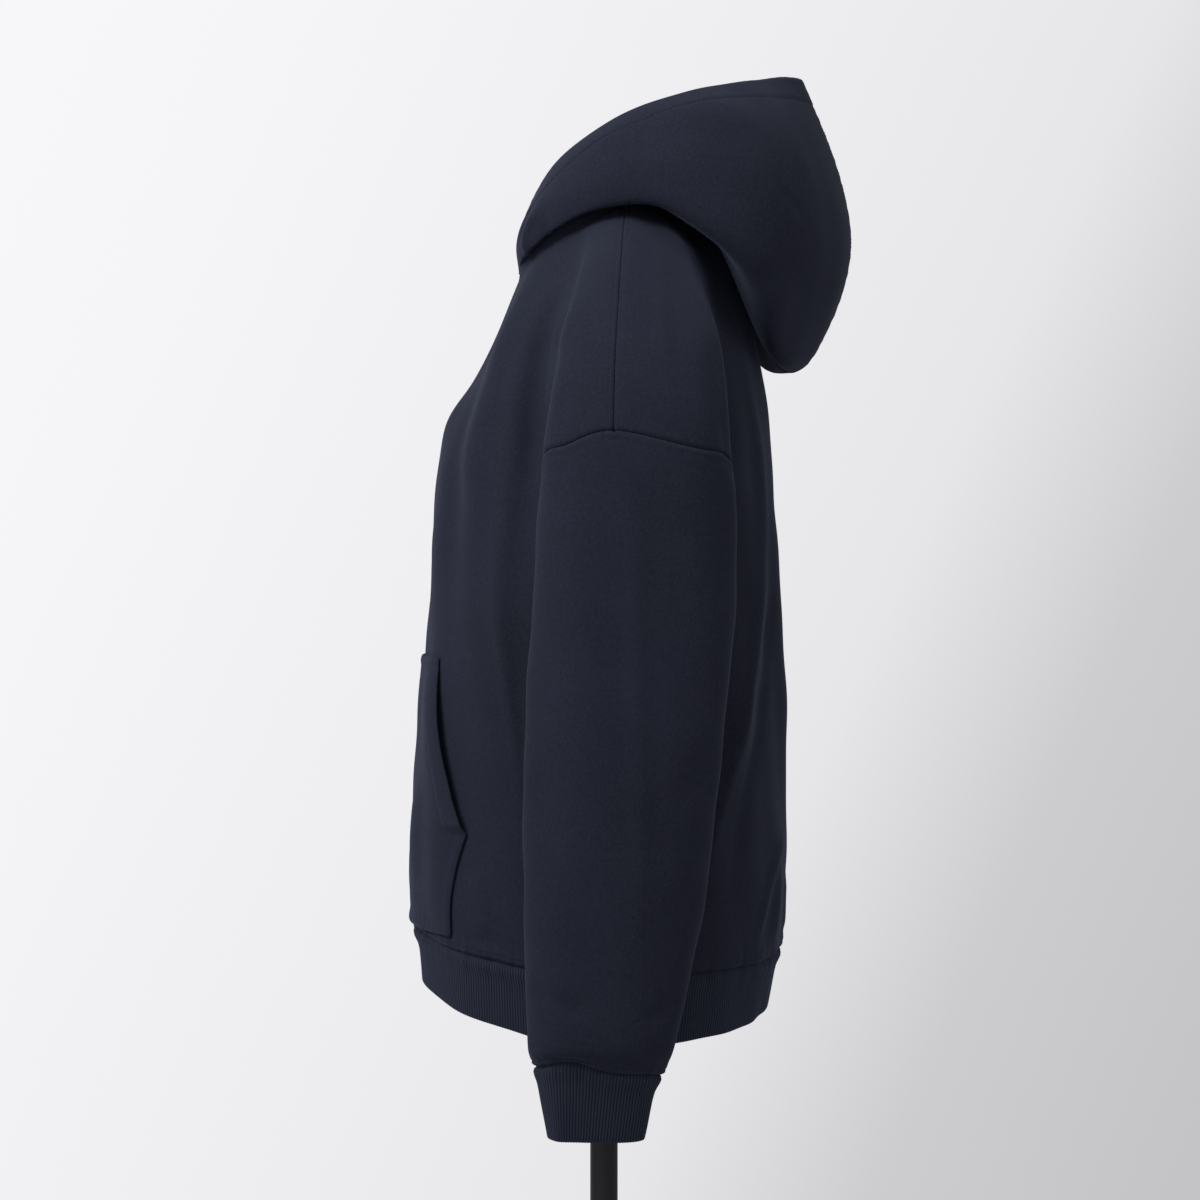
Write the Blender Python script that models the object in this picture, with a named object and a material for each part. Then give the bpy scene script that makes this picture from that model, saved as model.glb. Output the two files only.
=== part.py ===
"""A pullover hoodie worn by a limbless dress form on a pole and a round base.

The cloth is one skin, built as a cage of sections and rounded with Subdivision Surface. The skin is then
cut along its seams into the panels that a maker sews together, and each panel gets its cloth's thickness.
Front is -Y, the wearer's left is +X, and the base stands on z = 0. All sizes are in metres.
"""

import math
from collections import namedtuple

import bpy
import numpy as np
from mathutils import Vector
from mathutils.bvhtree import BVHTree

# ---------------------------------------------------------------- driving dimensions
CLOTH = 0.0018  # heavy double-faced sweatshirt knit
RIB = 0.0022  # rib knit of the hem band and cuffs
SEAM_GAP = 0.0003  # between two pieces that lie on each other
SEAM_CUT = 0.0004  # what a panel's edge is drawn back from its seam, half the gap between two panels
SEAT_GAP = 0.0006  # between the form's shoulders and the cloth on them
ARM_SIDE = 0.193  # inner side of a hanging sleeve, from the middle of the body

NECK_WIDTH = 0.088  # half the neckline's width
NECK_FRONT = 0.0765  # how far the neckline's front point lies before the pole
NECK_BACK = 0.062
NECK_FRONT_Z = 1.328
NECK_SIDE_Z = 1.383
NECK_BACK_Z = 1.378

ARMHOLE_TOP = 1.1765  # the dropped shoulder seam crosses the sleeve's outer side here
# How far the armhole seam drops below there, by the angle round the sleeve (0 is its outer side).
ARMHOLE = {
    -180: 0.145,
    -160: 0.134,
    -140: 0.106,
    -100: 0.0290,
    -50: 0.0125,
    -15: 0.0,
    40: 0.0150,
    92: 0.0285,
    135: 0.098,
    158: 0.132,
    180: 0.145,
}

POLE_RADIUS = 0.0125
BASE_RADIUS = 0.190
BASE_THICK = 0.010
SOCKET_RADIUS = 0.024
SOCKET_HEIGHT = 0.030
SOCKET_DEPTH = 0.024
TURNED_EDGE = 0.003  # bevel on the base plate and its socket
ROUND_SEGMENTS = 32

# ---------------------------------------------------------------- sections of the cloth
# A body section: its height at the front, sides and back, its half width, how far it reaches to the
# front and back of the pole, and how square it is in plan (2 is an ellipse).
Body = namedtuple("Body", "name z_front z_side z_back width front back square")
BODY = [
    Body("underarm", 1.090, 1.030, 1.105, 0.185, 0.1555, 0.1545, 2.3),
    Body("waist", 0.985, 0.950, 0.985, 0.184, 0.1617, 0.1620, 2.3),
    Body("pocket", 0.890, 0.865, 0.890, 0.186, 0.1660, 0.1637, 2.3),
    Body("hip", 0.820, 0.795, 0.815, 0.187, 0.1705, 0.1654, 2.3),
    Body("blouse", 0.766, 0.744, 0.750, 0.186, 0.1713, 0.1632, 2.3),
    Body("hem seam", 0.744, 0.720, 0.722, 0.183, 0.1683, 0.1570, 2.3),
    Body("hem", 0.696, 0.660, 0.670, 0.180, 0.1638, 0.1465, 2.3),
]
HEM_SEAM = 5

# A sleeve section: height, where its middle lies from the pole to the back, half its depth from front
# to back, and half its thickness from side to side.
Sleeve = namedtuple("Sleeve", "name z middle depth thick square")
SLEEVE = [
    Sleeve("armhole", ARMHOLE_TOP, 0.0262, 0.0783, 0.0410, 1.9),
    Sleeve("upper arm", 1.090, 0.0242, 0.0836, 0.0430, 1.9),
    Sleeve("elbow", 0.990, 0.0203, 0.0846, 0.0435, 1.9),
    Sleeve("forearm", 0.890, 0.0142, 0.0815, 0.0420, 1.9),
    Sleeve("lower arm", 0.790, 0.0070, 0.0750, 0.0385, 1.9),
    Sleeve("wrist", 0.715, 0.0008, 0.0668, 0.0340, 2.0),
    Sleeve("gather", 0.667, -0.0036, 0.0608, 0.0315, 2.0),
    Sleeve("cuff seam", 0.650, -0.0047, 0.0532, 0.0250, 2.2),
    Sleeve("cuff end", 0.5905, -0.0075, 0.0400, 0.0170, 2.8),
]
CUFF_SEAM = 7

# Round the left half, from the centre front to the centre back. The body's angles run from -90 at the
# front to 90 at the back; the sleeve's from 0 on its outer side, negative to the front.
BODY_FRONT_ANGLES = [-90, -72, -55, -38, -22]
BODY_SIDE_ANGLES = [-10, 2, 14]
BODY_BACK_ANGLES = [26, 41, 57, 73, 90]
SLEEVE_OUTER_ANGLES = [-100, -50, -15, 40, 92]
SLEEVE_INNER_ANGLES = [-160, 180, 158]
SLEEVE_CORNER_ANGLES = [-140, 135]
SHOULDER_COLUMN = 7

# How each column of the yoke runs from the neckline to the section below it: the neckline's angle, the
# angle by which it turns aside to the front, its slope and reach where it leaves the neckline, and how far
# above the lower section it turns upright.
Column = namedtuple("Column", "name column neck_angle turn slope reach rise lean")
SEAM_ANGLE = 22  # where the shoulder seam meets the neckline
YOKE = [
    Column("centre front", 0, -90, 0, 73, 0.151, 0.143, 0.000),
    Column("front chest", 2, -62, 0, 68, 0.118, 0.125, 0.002),
    Column("front underarm", 4, -35, 0, 44, 0.090, 0.100, 0.002),
    Column("shoulder seam", 7, SEAM_ANGLE, -14, 20, 0.095, 0.070, 0.000),
    Column("back underarm", 10, 52, 0, 28, 0.090, 0.110, 0.000),
    Column("centre back", 14, 90, 0, 20, 0.074, 0.155, 0.006),
]
YOKE_ROWS = 4

# A lengthwise fold that hangs from the shoulder: its column of the yoke, where it starts and ends, and
# how far the cloth there stands out (a valley is negative) and to the back.
Fold = namedtuple("Fold", "name column top bottom out back")
FOLDS = [
    Fold("front drape", 3, 1.330, 0.800, 0.0060, 0.0),
    Fold("front valley", 4, 1.320, 1.040, -0.0060, 0.0),
    Fold("front of the arm", 5, 1.375, 1.150, 0.0, 0.0190),
    Fold("back drape", 11, 1.320, 0.800, 0.0060, 0.0),
    Fold("shoulder blade", 10, 1.400, 1.110, 0.0120, 0.0),
    Fold("shoulder blade", 9, 1.400, 1.150, 0.0050, 0.0),
]

# A hood station, from the centre front round to the centre back: the fold that lies on the shoulders, three
# heights of the side that bags out above it, and the rim.
Hood = namedtuple("Hood", "name fold low side high rim")
HOOD = [
    Hood(
        "centre front",
        (0.000, -0.0780, 1.3385),
        (0.000, -0.0785, 1.3435),
        (0.000, -0.0790, 1.3480),
        (0.000, -0.0790, 1.3525),
        (0.000, -0.0790, 1.357),
    ),
    Hood(
        "throat",
        (0.053, -0.0725, 1.3445),
        (0.055, -0.0735, 1.3555),
        (0.052, -0.0725, 1.3690),
        (0.039, -0.0700, 1.378),
        (0.027, -0.0680, 1.386),
    ),
    Hood(
        "collar",
        (0.094, -0.0475, 1.3590),
        (0.100, -0.0455, 1.3735),
        (0.096, -0.0440, 1.390),
        (0.082, -0.0450, 1.408),
        (0.063, -0.0460, 1.420),
    ),
    Hood(
        "neck side",
        (0.115, -0.0080, 1.3755),
        (0.123, -0.0050, 1.3930),
        (0.123, -0.0020, 1.414),
        (0.112, -0.0050, 1.435),
        (0.091, -0.0070, 1.4485),
    ),
    Hood(
        "shoulder",
        (0.135, 0.0430, 1.3770),
        (0.144, 0.0470, 1.3990),
        (0.144, 0.0500, 1.425),
        (0.130, 0.0460, 1.452),
        (0.102, 0.0400, 1.4700),
    ),
    Hood(
        "shoulder blade",
        (0.145, 0.0860, 1.3530),
        (0.153, 0.1000, 1.378),
        (0.148, 0.1060, 1.418),
        (0.126, 0.0980, 1.458),
        (0.090, 0.0880, 1.4860),
    ),
    Hood(
        "back",
        (0.131, 0.1245, 1.3120),
        (0.138, 0.1480, 1.3390),
        (0.130, 0.1620, 1.382),
        (0.102, 0.1540, 1.446),
        (0.060, 0.1345, 1.4970),
    ),
    Hood(
        "lower back",
        (0.082, 0.1420, 1.2570),
        (0.084, 0.1750, 1.2900),
        (0.076, 0.2000, 1.354),
        (0.056, 0.1890, 1.437),
        (0.028, 0.1645, 1.5050),
    ),
    Hood(
        "centre back",
        (0.000, 0.1575, 1.2490),
        (0.000, 0.2040, 1.2800),
        (0.000, 0.2240, 1.353),
        (0.000, 0.2110, 1.430),
        (0.000, 0.1800, 1.5065),
    ),
]
STAND = 0.012  # the hood rises this much from the neckline before it turns out
ROLL_START, ROLL_RUN = 0.011, 0.013  # a fold this far out of the neckline rolls over
HANG_START, HANG_RUN = 0.030, 0.050  # and one this far below the neckline hangs from it,
HANG_SHARE = 0.6  # by this share of the height between the two
HOOD_SEAM = 0.0008  # above the body's neckline, which has more facets
HOOD_CLEAR = 0.004  # between the shoulders and the hood that lies on them
HOOD_CLEAR_NECK = 0.0012  # and at the neckline, from where it grows
NECKLINE_REACH = 0.004  # the hood's points within this of the neckline are its own neckline

# The pocket's outline, from its top edge to the hem seam: height and half width.
Pocket = namedtuple("Pocket", "name z width open")
POCKET = [
    Pocket("top edge", 0.985, 0.105, 0.0),
    Pocket("hand", 0.940, 0.119, 1.0),
    Pocket("hand", 0.890, 0.134, 1.0),
    Pocket("corner", 0.845, 0.148, 0.6),
    Pocket("side", 0.800, 0.147, 0.0),
    Pocket("hem seam", 0.752, 0.144, 0.0),
]
POCKET_ROWS = 10
POCKET_COLUMNS = 14
POCKET_STANDOFF = 0.0014  # where it is sewn down
POCKET_ROOM = 0.0020  # how far its middle bags away from the front
POCKET_MOUTH = 0.0100  # and how far a hand opening does
POCKET_TOP_RUN, POCKET_FOOT_RUN = 0.070, 0.040  # over these heights it rises from its top and foot

# ---------------------------------------------------------------- sections of the dress form
Form = namedtuple("Form", "name z width front back middle")
FORM = [
    Form("underside edge", 0.775, 0.135, 0.090, 0.098, 0.000),
    Form("underside curve", 0.783, 0.156, 0.106, 0.113, 0.000),
    Form("hip", 0.850, 0.163, 0.112, 0.118, 0.000),
    Form("high hip", 0.930, 0.150, 0.102, 0.105, 0.000),
    Form("waist", 1.010, 0.126, 0.088, 0.082, 0.000),
    Form("ribs", 1.085, 0.134, 0.104, 0.086, 0.000),
    Form("bust", 1.150, 0.150, 0.126, 0.098, 0.000),
    Form("chest", 1.215, 0.158, 0.104, 0.102, 0.000),
    Form("arm plate", 1.275, 0.166, 0.076, 0.092, 0.006),
    Form("shoulder", 1.310, 0.166, 0.056, 0.074, 0.012),
    Form("shoulder slope", 1.334, 0.146, 0.046, 0.058, 0.014),
    Form("neck root", 1.356, 0.098, 0.044, 0.048, 0.014),
    Form("neck base", 1.380, 0.062, 0.046, 0.046, 0.010),
    Form("neck", 1.398, 0.055, 0.046, 0.046, 0.006),
    Form("neck top", 1.415, 0.054, 0.045, 0.046, 0.004),
]
FORM_COLUMNS = 24
FORM_DROP = 0.05  # how far below its place the form starts before it is raised
SEAT_STEP = 0.0015  # pitch of the places on its shoulders that are tried against the cloth
SEAT_WIDTH, SEAT_DEPTH = 0.19, 0.13  # half the plan area that they cover
ABOVE, BEFORE = 2.0, -1.0  # outside the cloth, where rays start

COLOURS = {
    "knit": (0.018, 0.021, 0.034),
    "rib": (0.016, 0.019, 0.031),
    "form": (0.72, 0.68, 0.60),
    "metal": (0.012, 0.012, 0.014),
}


def clear_scene():
    for obj in list(bpy.data.objects):
        bpy.data.objects.remove(obj, do_unlink=True)


def material(name, roughness=0.9):
    made = bpy.data.materials.get(name)
    if made is None:
        made = bpy.data.materials.new(name)
        made.use_nodes = True
        shader = made.node_tree.nodes["Principled BSDF"]
        shader.inputs["Base Color"].default_value = (*COLOURS[name], 1.0)
        shader.inputs["Roughness"].default_value = roughness
    return made


def mesh_object(name, points, faces, finish):
    mesh = bpy.data.meshes.new(name)
    mesh.from_pydata([tuple(p) for p in points], [], [tuple(int(i) for i in f) for f in faces])
    mesh.materials.append(finish)
    mesh.update()
    obj = bpy.data.objects.new(name, mesh)
    bpy.context.scene.collection.objects.link(obj)
    mesh.shade_smooth()
    return obj


def power(value, exponent):
    """value to a power, keeping its sign."""
    return math.copysign(abs(value) ** exponent, value)


# ---------------------------------------------------------------- points of a section
def body_point(section, angle):
    c, s = math.cos(math.radians(angle)), math.sin(math.radians(angle))
    depth = section.front if s < 0 else section.back
    z_end = section.z_front if s < 0 else section.z_back
    return np.array(
        [
            section.width * power(c, 2 / section.square),
            depth * power(s, 2 / section.square),
            section.z_side + (z_end - section.z_side) * abs(s) ** 1.3,
        ]
    )


def sleeve_point(section, angle, share=0.0):
    """A point of a sleeve section, with a share of the armhole's drop."""
    c, s = math.cos(math.radians(angle)), math.sin(math.radians(angle))
    return np.array(
        [
            ARM_SIDE + section.thick * (1 + power(c, 2 / section.square)),
            section.middle + section.depth * power(s, 2 / section.square),
            section.z - share * np.interp(angle, list(ARMHOLE), list(ARMHOLE.values())),
        ]
    )


def neck_point(angle):
    c, s = math.cos(math.radians(angle)), math.sin(math.radians(angle))
    seam = math.sin(math.radians(SEAM_ANGLE))
    middle = (NECK_BACK - NECK_FRONT) / 2
    half = (NECK_BACK + NECK_FRONT) / 2
    if s < seam:
        z = NECK_SIDE_Z + (NECK_FRONT_Z - NECK_SIDE_Z) * ((seam - s) / (1 + seam)) ** 1.2
    else:
        z = NECK_SIDE_Z + (NECK_BACK_Z - NECK_SIDE_Z) * ((s - seam) / (1 - seam)) ** 2
    return np.array([NECK_WIDTH * c, middle + half * s, z])


def yoke_value(field, column):
    return float(np.interp(column, [y.column for y in YOKE], [getattr(y, field) for y in YOKE]))


def folded(place, column):
    """A point of a yoke column, moved out or in by the folds that run down it."""
    place = np.array(place)
    for fold in FOLDS:
        if fold.column == column and fold.bottom < place[2] < fold.top:
            along = (fold.top - place[2]) / (fold.top - fold.bottom)
            outward = np.array([place[0], 1.6 * place[1], 0.0])
            swell = math.sin(math.pi * along**0.6)
            place += fold.out * swell * outward / np.linalg.norm(outward)
            place[1] += fold.back * swell
    return place


def underarm_ring():
    """The section where body and sleeve part: (yoke ring, the saddle between the two underarm corners)."""
    body, arm = BODY[0], SLEEVE[0]

    def shared(body_angle, arm_angle):
        return (body_point(body, body_angle) + sleeve_point(arm, arm_angle, 1.0)) / 2

    front = [body_point(body, a) for a in BODY_FRONT_ANGLES[:-1]]
    back = [body_point(body, a) for a in BODY_BACK_ANGLES[1:]]
    corner_front = shared(BODY_FRONT_ANGLES[-1], SLEEVE_CORNER_ANGLES[0])
    corner_back = shared(BODY_BACK_ANGLES[0], SLEEVE_CORNER_ANGLES[1])
    outer = [sleeve_point(arm, a, 1.0) for a in SLEEVE_OUTER_ANGLES]
    saddle = [shared(a, b) for a, b in zip(BODY_SIDE_ANGLES, SLEEVE_INNER_ANGLES)]
    return front + [corner_front] + outer + [corner_back] + back, saddle


def yoke_rows(ring):
    """Rows of points from the neckline down to the underarm ring, each column on a cubic curve."""
    columns = []
    for i, low in enumerate(ring):
        top = neck_point(yoke_value("neck_angle", i))
        slope = math.radians(yoke_value("slope", i))
        way = math.atan2(top[1], top[0]) + math.radians(yoke_value("turn", i))
        outward = np.array([math.cos(way), math.sin(way), 0.0])
        reach = yoke_value("reach", i)
        leave = top + reach * (math.cos(slope) * outward - math.sin(slope) * np.array([0, 0, 1.0]))
        arrive = low + np.array([0, 0, yoke_value("rise", i)]) - yoke_value("lean", i) * outward
        t = np.linspace(0, 1, YOKE_ROWS + 1)[:, None]
        curve = (1 - t) ** 3 * top + 3 * t * (1 - t) ** 2 * leave
        curve += 3 * t * t * (1 - t) * arrive + t**3 * low
        columns.append([folded(p, i) if 0 < row < YOKE_ROWS else p for row, p in enumerate(curve)])
    return [[column[row] for column in columns] for row in range(YOKE_ROWS + 1)]


# ---------------------------------------------------------------- the cage
class Cage:
    """Points and four-sided faces, each face with the name of its panel. Points at one place are one."""

    def __init__(self):
        self.points, self.faces, self.panels, self.names = [], [], [], []
        self._at = {}

    def point(self, place, side):
        place = (float(place[0]) * side, float(place[1]), float(place[2]))
        key = tuple(round(v, 6) + 0.0 for v in place)
        if key not in self._at:
            self._at[key] = len(self.points)
            self.points.append(place)
        return self._at[key]

    def strip(self, upper, lower, side, panels):
        """Faces between two rows of points; panels names each face's panel."""
        if len(panels) == 1:
            panels = panels * (len(upper) - 1)
        for i, panel in enumerate(panels):
            corners = [upper[i], lower[i], lower[i + 1], upper[i + 1]]
            face = [self.point(p, side) for p in corners]
            if panel not in self.names:
                self.names.append(panel)
            self.faces.append(face if side > 0 else face[::-1])
            self.panels.append(self.names.index(panel))


def add_body(cage, side, suffix):
    ring, saddle = underarm_ring()
    rows = yoke_rows(ring)
    yoke_panels = ["front"] * SHOULDER_COLUMN + ["back"] * (len(ring) - 1 - SHOULDER_COLUMN)
    for upper, lower in zip(rows, rows[1:]):
        cage.strip(upper, lower, side, yoke_panels)
    n_front, n_back = len(BODY_FRONT_ANGLES), len(BODY_BACK_ANGLES)
    angles = BODY_FRONT_ANGLES + BODY_SIDE_ANGLES + BODY_BACK_ANGLES
    body_rows = [ring[:n_front] + saddle + ring[-n_back:]]
    columns = list(range(n_front)) + [None] * len(BODY_SIDE_ANGLES)
    columns += list(range(len(ring) - n_back, len(ring)))
    body_rows += [
        [folded(body_point(section, a), column) for a, column in zip(angles, columns)]
        for section in BODY[1:]
    ]
    side_seam = n_front + 1
    body_panels = ["front"] * side_seam + ["back"] * (len(angles) - 1 - side_seam)
    for i, (upper, lower) in enumerate(zip(body_rows, body_rows[1:])):
        cage.strip(upper, lower, side, body_panels if i < HEM_SEAM else ["hem_band"])
    arm_angles = [SLEEVE_CORNER_ANGLES[0]] + SLEEVE_OUTER_ANGLES + [SLEEVE_CORNER_ANGLES[1]]
    arm_angles += SLEEVE_INNER_ANGLES[::-1]
    sleeve_rows = [ring[n_front - 1 : -n_back + 1] + saddle[::-1]]
    for k, section in enumerate(SLEEVE[1:], 1):
        share = max(0.0, 1.0 - 0.4 * k)
        sleeve_rows.append([sleeve_point(section, a, share) for a in arm_angles])
    for i, (upper, lower) in enumerate(zip(sleeve_rows, sleeve_rows[1:])):
        panel = f"sleeve_{suffix}" if i < CUFF_SEAM else f"cuff_{suffix}"
        cage.strip(upper + upper[:1], lower + lower[:1], side, [panel])


def hood_rows(top_surface):
    """Rows from the neckline to the rim. top_surface gives the shoulders' height at a place in plan."""
    angles = np.interp(np.linspace(0, 1, len(HOOD)), [0, 0.5, 1], [-90, SEAM_ANGLE, 90])
    stations = []
    for angle, station in zip(angles, HOOD):
        neck = neck_point(angle) + np.array([0.0, 0.0, HOOD_SEAM])
        fold, low, middle, high, rim = (np.array(p) for p in station[1:])
        rolled = min(1.0, max(0.0, (math.dist(neck, fold) - ROLL_START) / ROLL_RUN))
        stand = neck + (fold - neck) * (0.35 - 0.25 * rolled) + np.array([0.0, 0.0, STAND * rolled])
        under = neck + (fold - neck) * (0.70 - 0.20 * rolled)
        under[2] += ((stand[2] + fold[2]) / 2 - under[2]) * rolled
        hanging = min(1.0, max(0.0, (neck[2] - fold[2] - HANG_START) / HANG_RUN))
        under[2] += (neck[2] - under[2]) * HANG_SHARE * hanging
        floor = top_surface(under)
        if floor is not None and rolled:
            under[2] = max(under[2], floor + HOOD_CLEAR)
        stations.append([neck, stand, under, fold, low, middle, high, rim])
    return [[station[row] for station in stations] for row in range(len(stations[0]))]


def add_hood(cage, side, suffix, top_surface):
    rows = hood_rows(top_surface)
    for upper, lower in zip(rows[1:][::-1], rows[:-1][::-1]):
        cage.strip(upper, lower, side, [f"hood_{suffix}"])


# ---------------------------------------------------------------- rounding the cage
def rounded(cage, levels, passes=8):
    """The cage's Subdivision Surface, drawn so that it passes through the cage's points."""
    target = np.array(cage.points)
    obj = mesh_object("cage", target, cage.faces, material("knit"))
    for _ in cage.names[1:]:
        obj.data.materials.append(material("knit"))
    obj.data.polygons.foreach_set("material_index", cage.panels)
    smooth = obj.modifiers.new("Subdivision", "SUBSURF")
    smooth.levels = smooth.render_levels = levels
    place = target.copy()
    for _ in range(passes):
        obj.data.vertices.foreach_set("co", place.astype(np.float32).ravel())
        obj.data.update()
        points, faces, panels = evaluated(obj)
        place += target - points[: len(target)]
    bpy.data.objects.remove(obj)
    return points, faces, panels


def evaluated(obj):
    graph = bpy.context.evaluated_depsgraph_get()
    graph.update()
    mesh = obj.evaluated_get(graph).to_mesh()
    points = np.array([v.co for v in mesh.vertices])
    faces = [list(p.vertices) for p in mesh.polygons]
    panels = [p.material_index for p in mesh.polygons]
    obj.evaluated_get(graph).to_mesh_clear()
    return points, faces, panels


def point_normals(points, faces):
    normals = np.zeros_like(points)
    for face in faces:
        a, b, c, d = points[face]
        normal = np.cross(c - a, d - b)
        normals[face] += normal / max(np.linalg.norm(normal), 1e-12)
    return normals / np.maximum(np.linalg.norm(normals, axis=1), 1e-12)[:, None]


# ---------------------------------------------------------------- panels
def open_edges(faces):
    """The directed edges that only one face uses."""
    edges = {edge: True for face in faces for edge in zip(face, face[1:] + face[:1])}
    return [(a, b) for a, b in edges if (b, a) not in edges]


def wall_faces(sheet, points):
    """Faces of a closed wall: the sheet, the same triangles turned over inside, and the rim."""
    n = len(points)
    triangles = []
    for a, b, c, d in sheet:
        if math.dist(points[a], points[c]) < math.dist(points[b], points[d]):
            triangles += [[a, b, c], [a, c, d]]
        else:
            triangles += [[b, c, d], [b, d, a]]
    rim = [[b, a, a + n, b + n] for a, b in open_edges(sheet)]
    return triangles + [[i + n for i in reversed(t)] for t in triangles] + rim


def panel_solid(name, points, faces, normals, thickness, finish, seams):
    """One panel as a closed wall: its outer side is the skin, drawn back from its seams by half the gap."""
    used = sorted({i for face in faces for i in face})
    number = {old: new for new, old in enumerate(used)}
    outer = points[used].copy()
    faces = [[number[i] for i in face] for face in faces]
    along = {}
    for a, b in open_edges(faces):
        direction = outer[b] - outer[a]
        direction /= np.linalg.norm(direction)
        along.setdefault(a, []).append(direction)
        along.setdefault(b, []).append(direction)
    moved = outer.copy()
    for i, directions in along.items():
        if used[i] not in seams:
            continue
        shift = np.zeros(3)
        for direction in directions:
            inward = np.cross(normals[used[i]], direction)
            shift += inward / np.linalg.norm(inward)
        shift /= max(np.linalg.norm(shift), 1e-9)
        cosine = max(0.4, abs(float(np.dot(shift, np.cross(normals[used[i]], directions[0])))))
        moved[i] = outer[i] + shift * (SEAM_CUT / cosine)
    inner = moved - normals[used] * thickness
    return mesh_object(name, np.vstack([moved, inner]), wall_faces(faces, moved), finish)


def shared_points(faces, panels):
    """Points that faces of more than one panel use, which is where a seam runs."""
    owner, shared = {}, set()
    for face, panel in zip(faces, panels):
        for i in face:
            if owner.setdefault(i, panel) != panel:
                shared.add(i)
    return shared


def cut_panels(points, faces, panels, names, seams=None):
    normals = point_normals(points, faces)
    seams = shared_points(faces, panels) if seams is None else seams
    made = {}
    for k, name in enumerate(names):
        own = [f for f, p in zip(faces, panels) if p == k]
        ribbed = name.startswith(("hem", "cuff"))
        thickness, finish = (RIB, material("rib")) if ribbed else (CLOTH, material("knit"))
        made[name] = panel_solid(name, points, own, normals, thickness, finish, seams)
    return made


def tree_of(*objects):
    """One search tree over several objects' faces."""
    points, faces = [], []
    for obj in objects:
        start = len(points)
        points += [v.co for v in obj.data.vertices]
        faces += [[i + start for i in p.vertices] for p in obj.data.polygons]
    return BVHTree.FromPolygons(points, faces)


# ---------------------------------------------------------------- the pocket
def pocket(front):
    """The kangaroo pocket: a sheet laid on the front, sewn at its top, foot and lower sides."""
    tree = tree_of(front)
    heights = np.linspace(POCKET[0].z, POCKET[-1].z, POCKET_ROWS + 1)
    table = sorted(POCKET, key=lambda row: row.z)
    inner, outer = [], []
    for z in heights:
        width = np.interp(z, [r.z for r in table], [r.width for r in table])
        opening = np.interp(z, [r.z for r in table], [r.open for r in table])
        down = max(0.0, min(1.0, (POCKET[0].z - z) / POCKET_TOP_RUN, (z - POCKET[-1].z) / POCKET_FOOT_RUN))
        for u in np.linspace(-1, 1, POCKET_COLUMNS + 1):
            hit, normal, _, _ = tree.ray_cast(Vector((u * width, BEFORE, z)), Vector((0, 1, 0)))
            across = max(opening, min(1.0, (1 - abs(u)) / 0.25))
            room = POCKET_ROOM + (POCKET_MOUTH - POCKET_ROOM) * opening * min(1.0, abs(u) / 0.8) ** 3
            bag = room * math.sin(down * math.pi / 2) * math.sin(across * math.pi / 2)
            hit, normal = np.array(hit), np.array(normal)
            inner.append(hit + normal * (POCKET_STANDOFF + bag))
            outer.append(hit + normal * (POCKET_STANDOFF + bag + CLOTH))
    across = POCKET_COLUMNS + 1
    grid = [
        [r * across + c, (r + 1) * across + c, (r + 1) * across + c + 1, r * across + c + 1]
        for r in range(POCKET_ROWS)
        for c in range(POCKET_COLUMNS)
    ]
    return mesh_object("pocket", outer + inner, wall_faces(grid, outer), material("knit"))


# ---------------------------------------------------------------- the dress form and its stand
def form_torso():
    """The limbless torso, with a flat underside and a flat neck top."""
    rings = []
    for row in FORM:
        ring = []
        for k in range(FORM_COLUMNS):
            angle = 2 * math.pi * k / FORM_COLUMNS
            c, s = math.cos(angle), math.sin(angle)
            ring.append((row.width * c, row.middle + (row.back if s > 0 else row.front) * s, row.z))
        rings.append(ring)
    points = [p for ring in rings for p in ring]
    faces = []
    for r in range(len(rings) - 1):
        for k in range(FORM_COLUMNS):
            following = (k + 1) % FORM_COLUMNS
            low, high = r * FORM_COLUMNS, (r + 1) * FORM_COLUMNS
            faces.append([low + k, low + following, high + following, high + k])
    faces.append(list(reversed(range(FORM_COLUMNS))))
    faces.append([len(points) - FORM_COLUMNS + k for k in range(FORM_COLUMNS)])
    return mesh_object("form_torso", points, faces, material("form", 0.7))


def seat_form(form, cloth):
    """Raises the form until its shoulders carry the cloth, and returns the change in height."""
    for vertex in form.data.vertices:
        vertex.co.z -= FORM_DROP
    cloth_tree, form_tree = tree_of(*cloth), tree_of(form)
    places = [v.co.copy() for v in form.data.vertices]
    for x in np.arange(-SEAT_WIDTH, SEAT_WIDTH, SEAT_STEP):
        for y in np.arange(-SEAT_DEPTH, SEAT_DEPTH, SEAT_STEP):
            hit = form_tree.ray_cast(Vector((x, y, ABOVE)), Vector((0, 0, -1)))[0]
            if hit is not None:
                places.append(hit)
    travel = []
    for place in places:
        distance = cloth_tree.ray_cast(place + Vector((0, 0, 0.00001)), Vector((0, 0, 1)))[3]
        if distance is not None:
            travel.append(distance)
    for obj in cloth:
        for vertex in obj.data.vertices:
            hit = form_tree.ray_cast(vertex.co, Vector((0, 0, -1)))
            if hit[0] is not None and hit[1].z > 0:
                travel.append(hit[3])
    rise = min(travel) - SEAT_GAP
    for vertex in form.data.vertices:
        vertex.co.z += rise
    form.data.update()
    return rise - FORM_DROP


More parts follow.
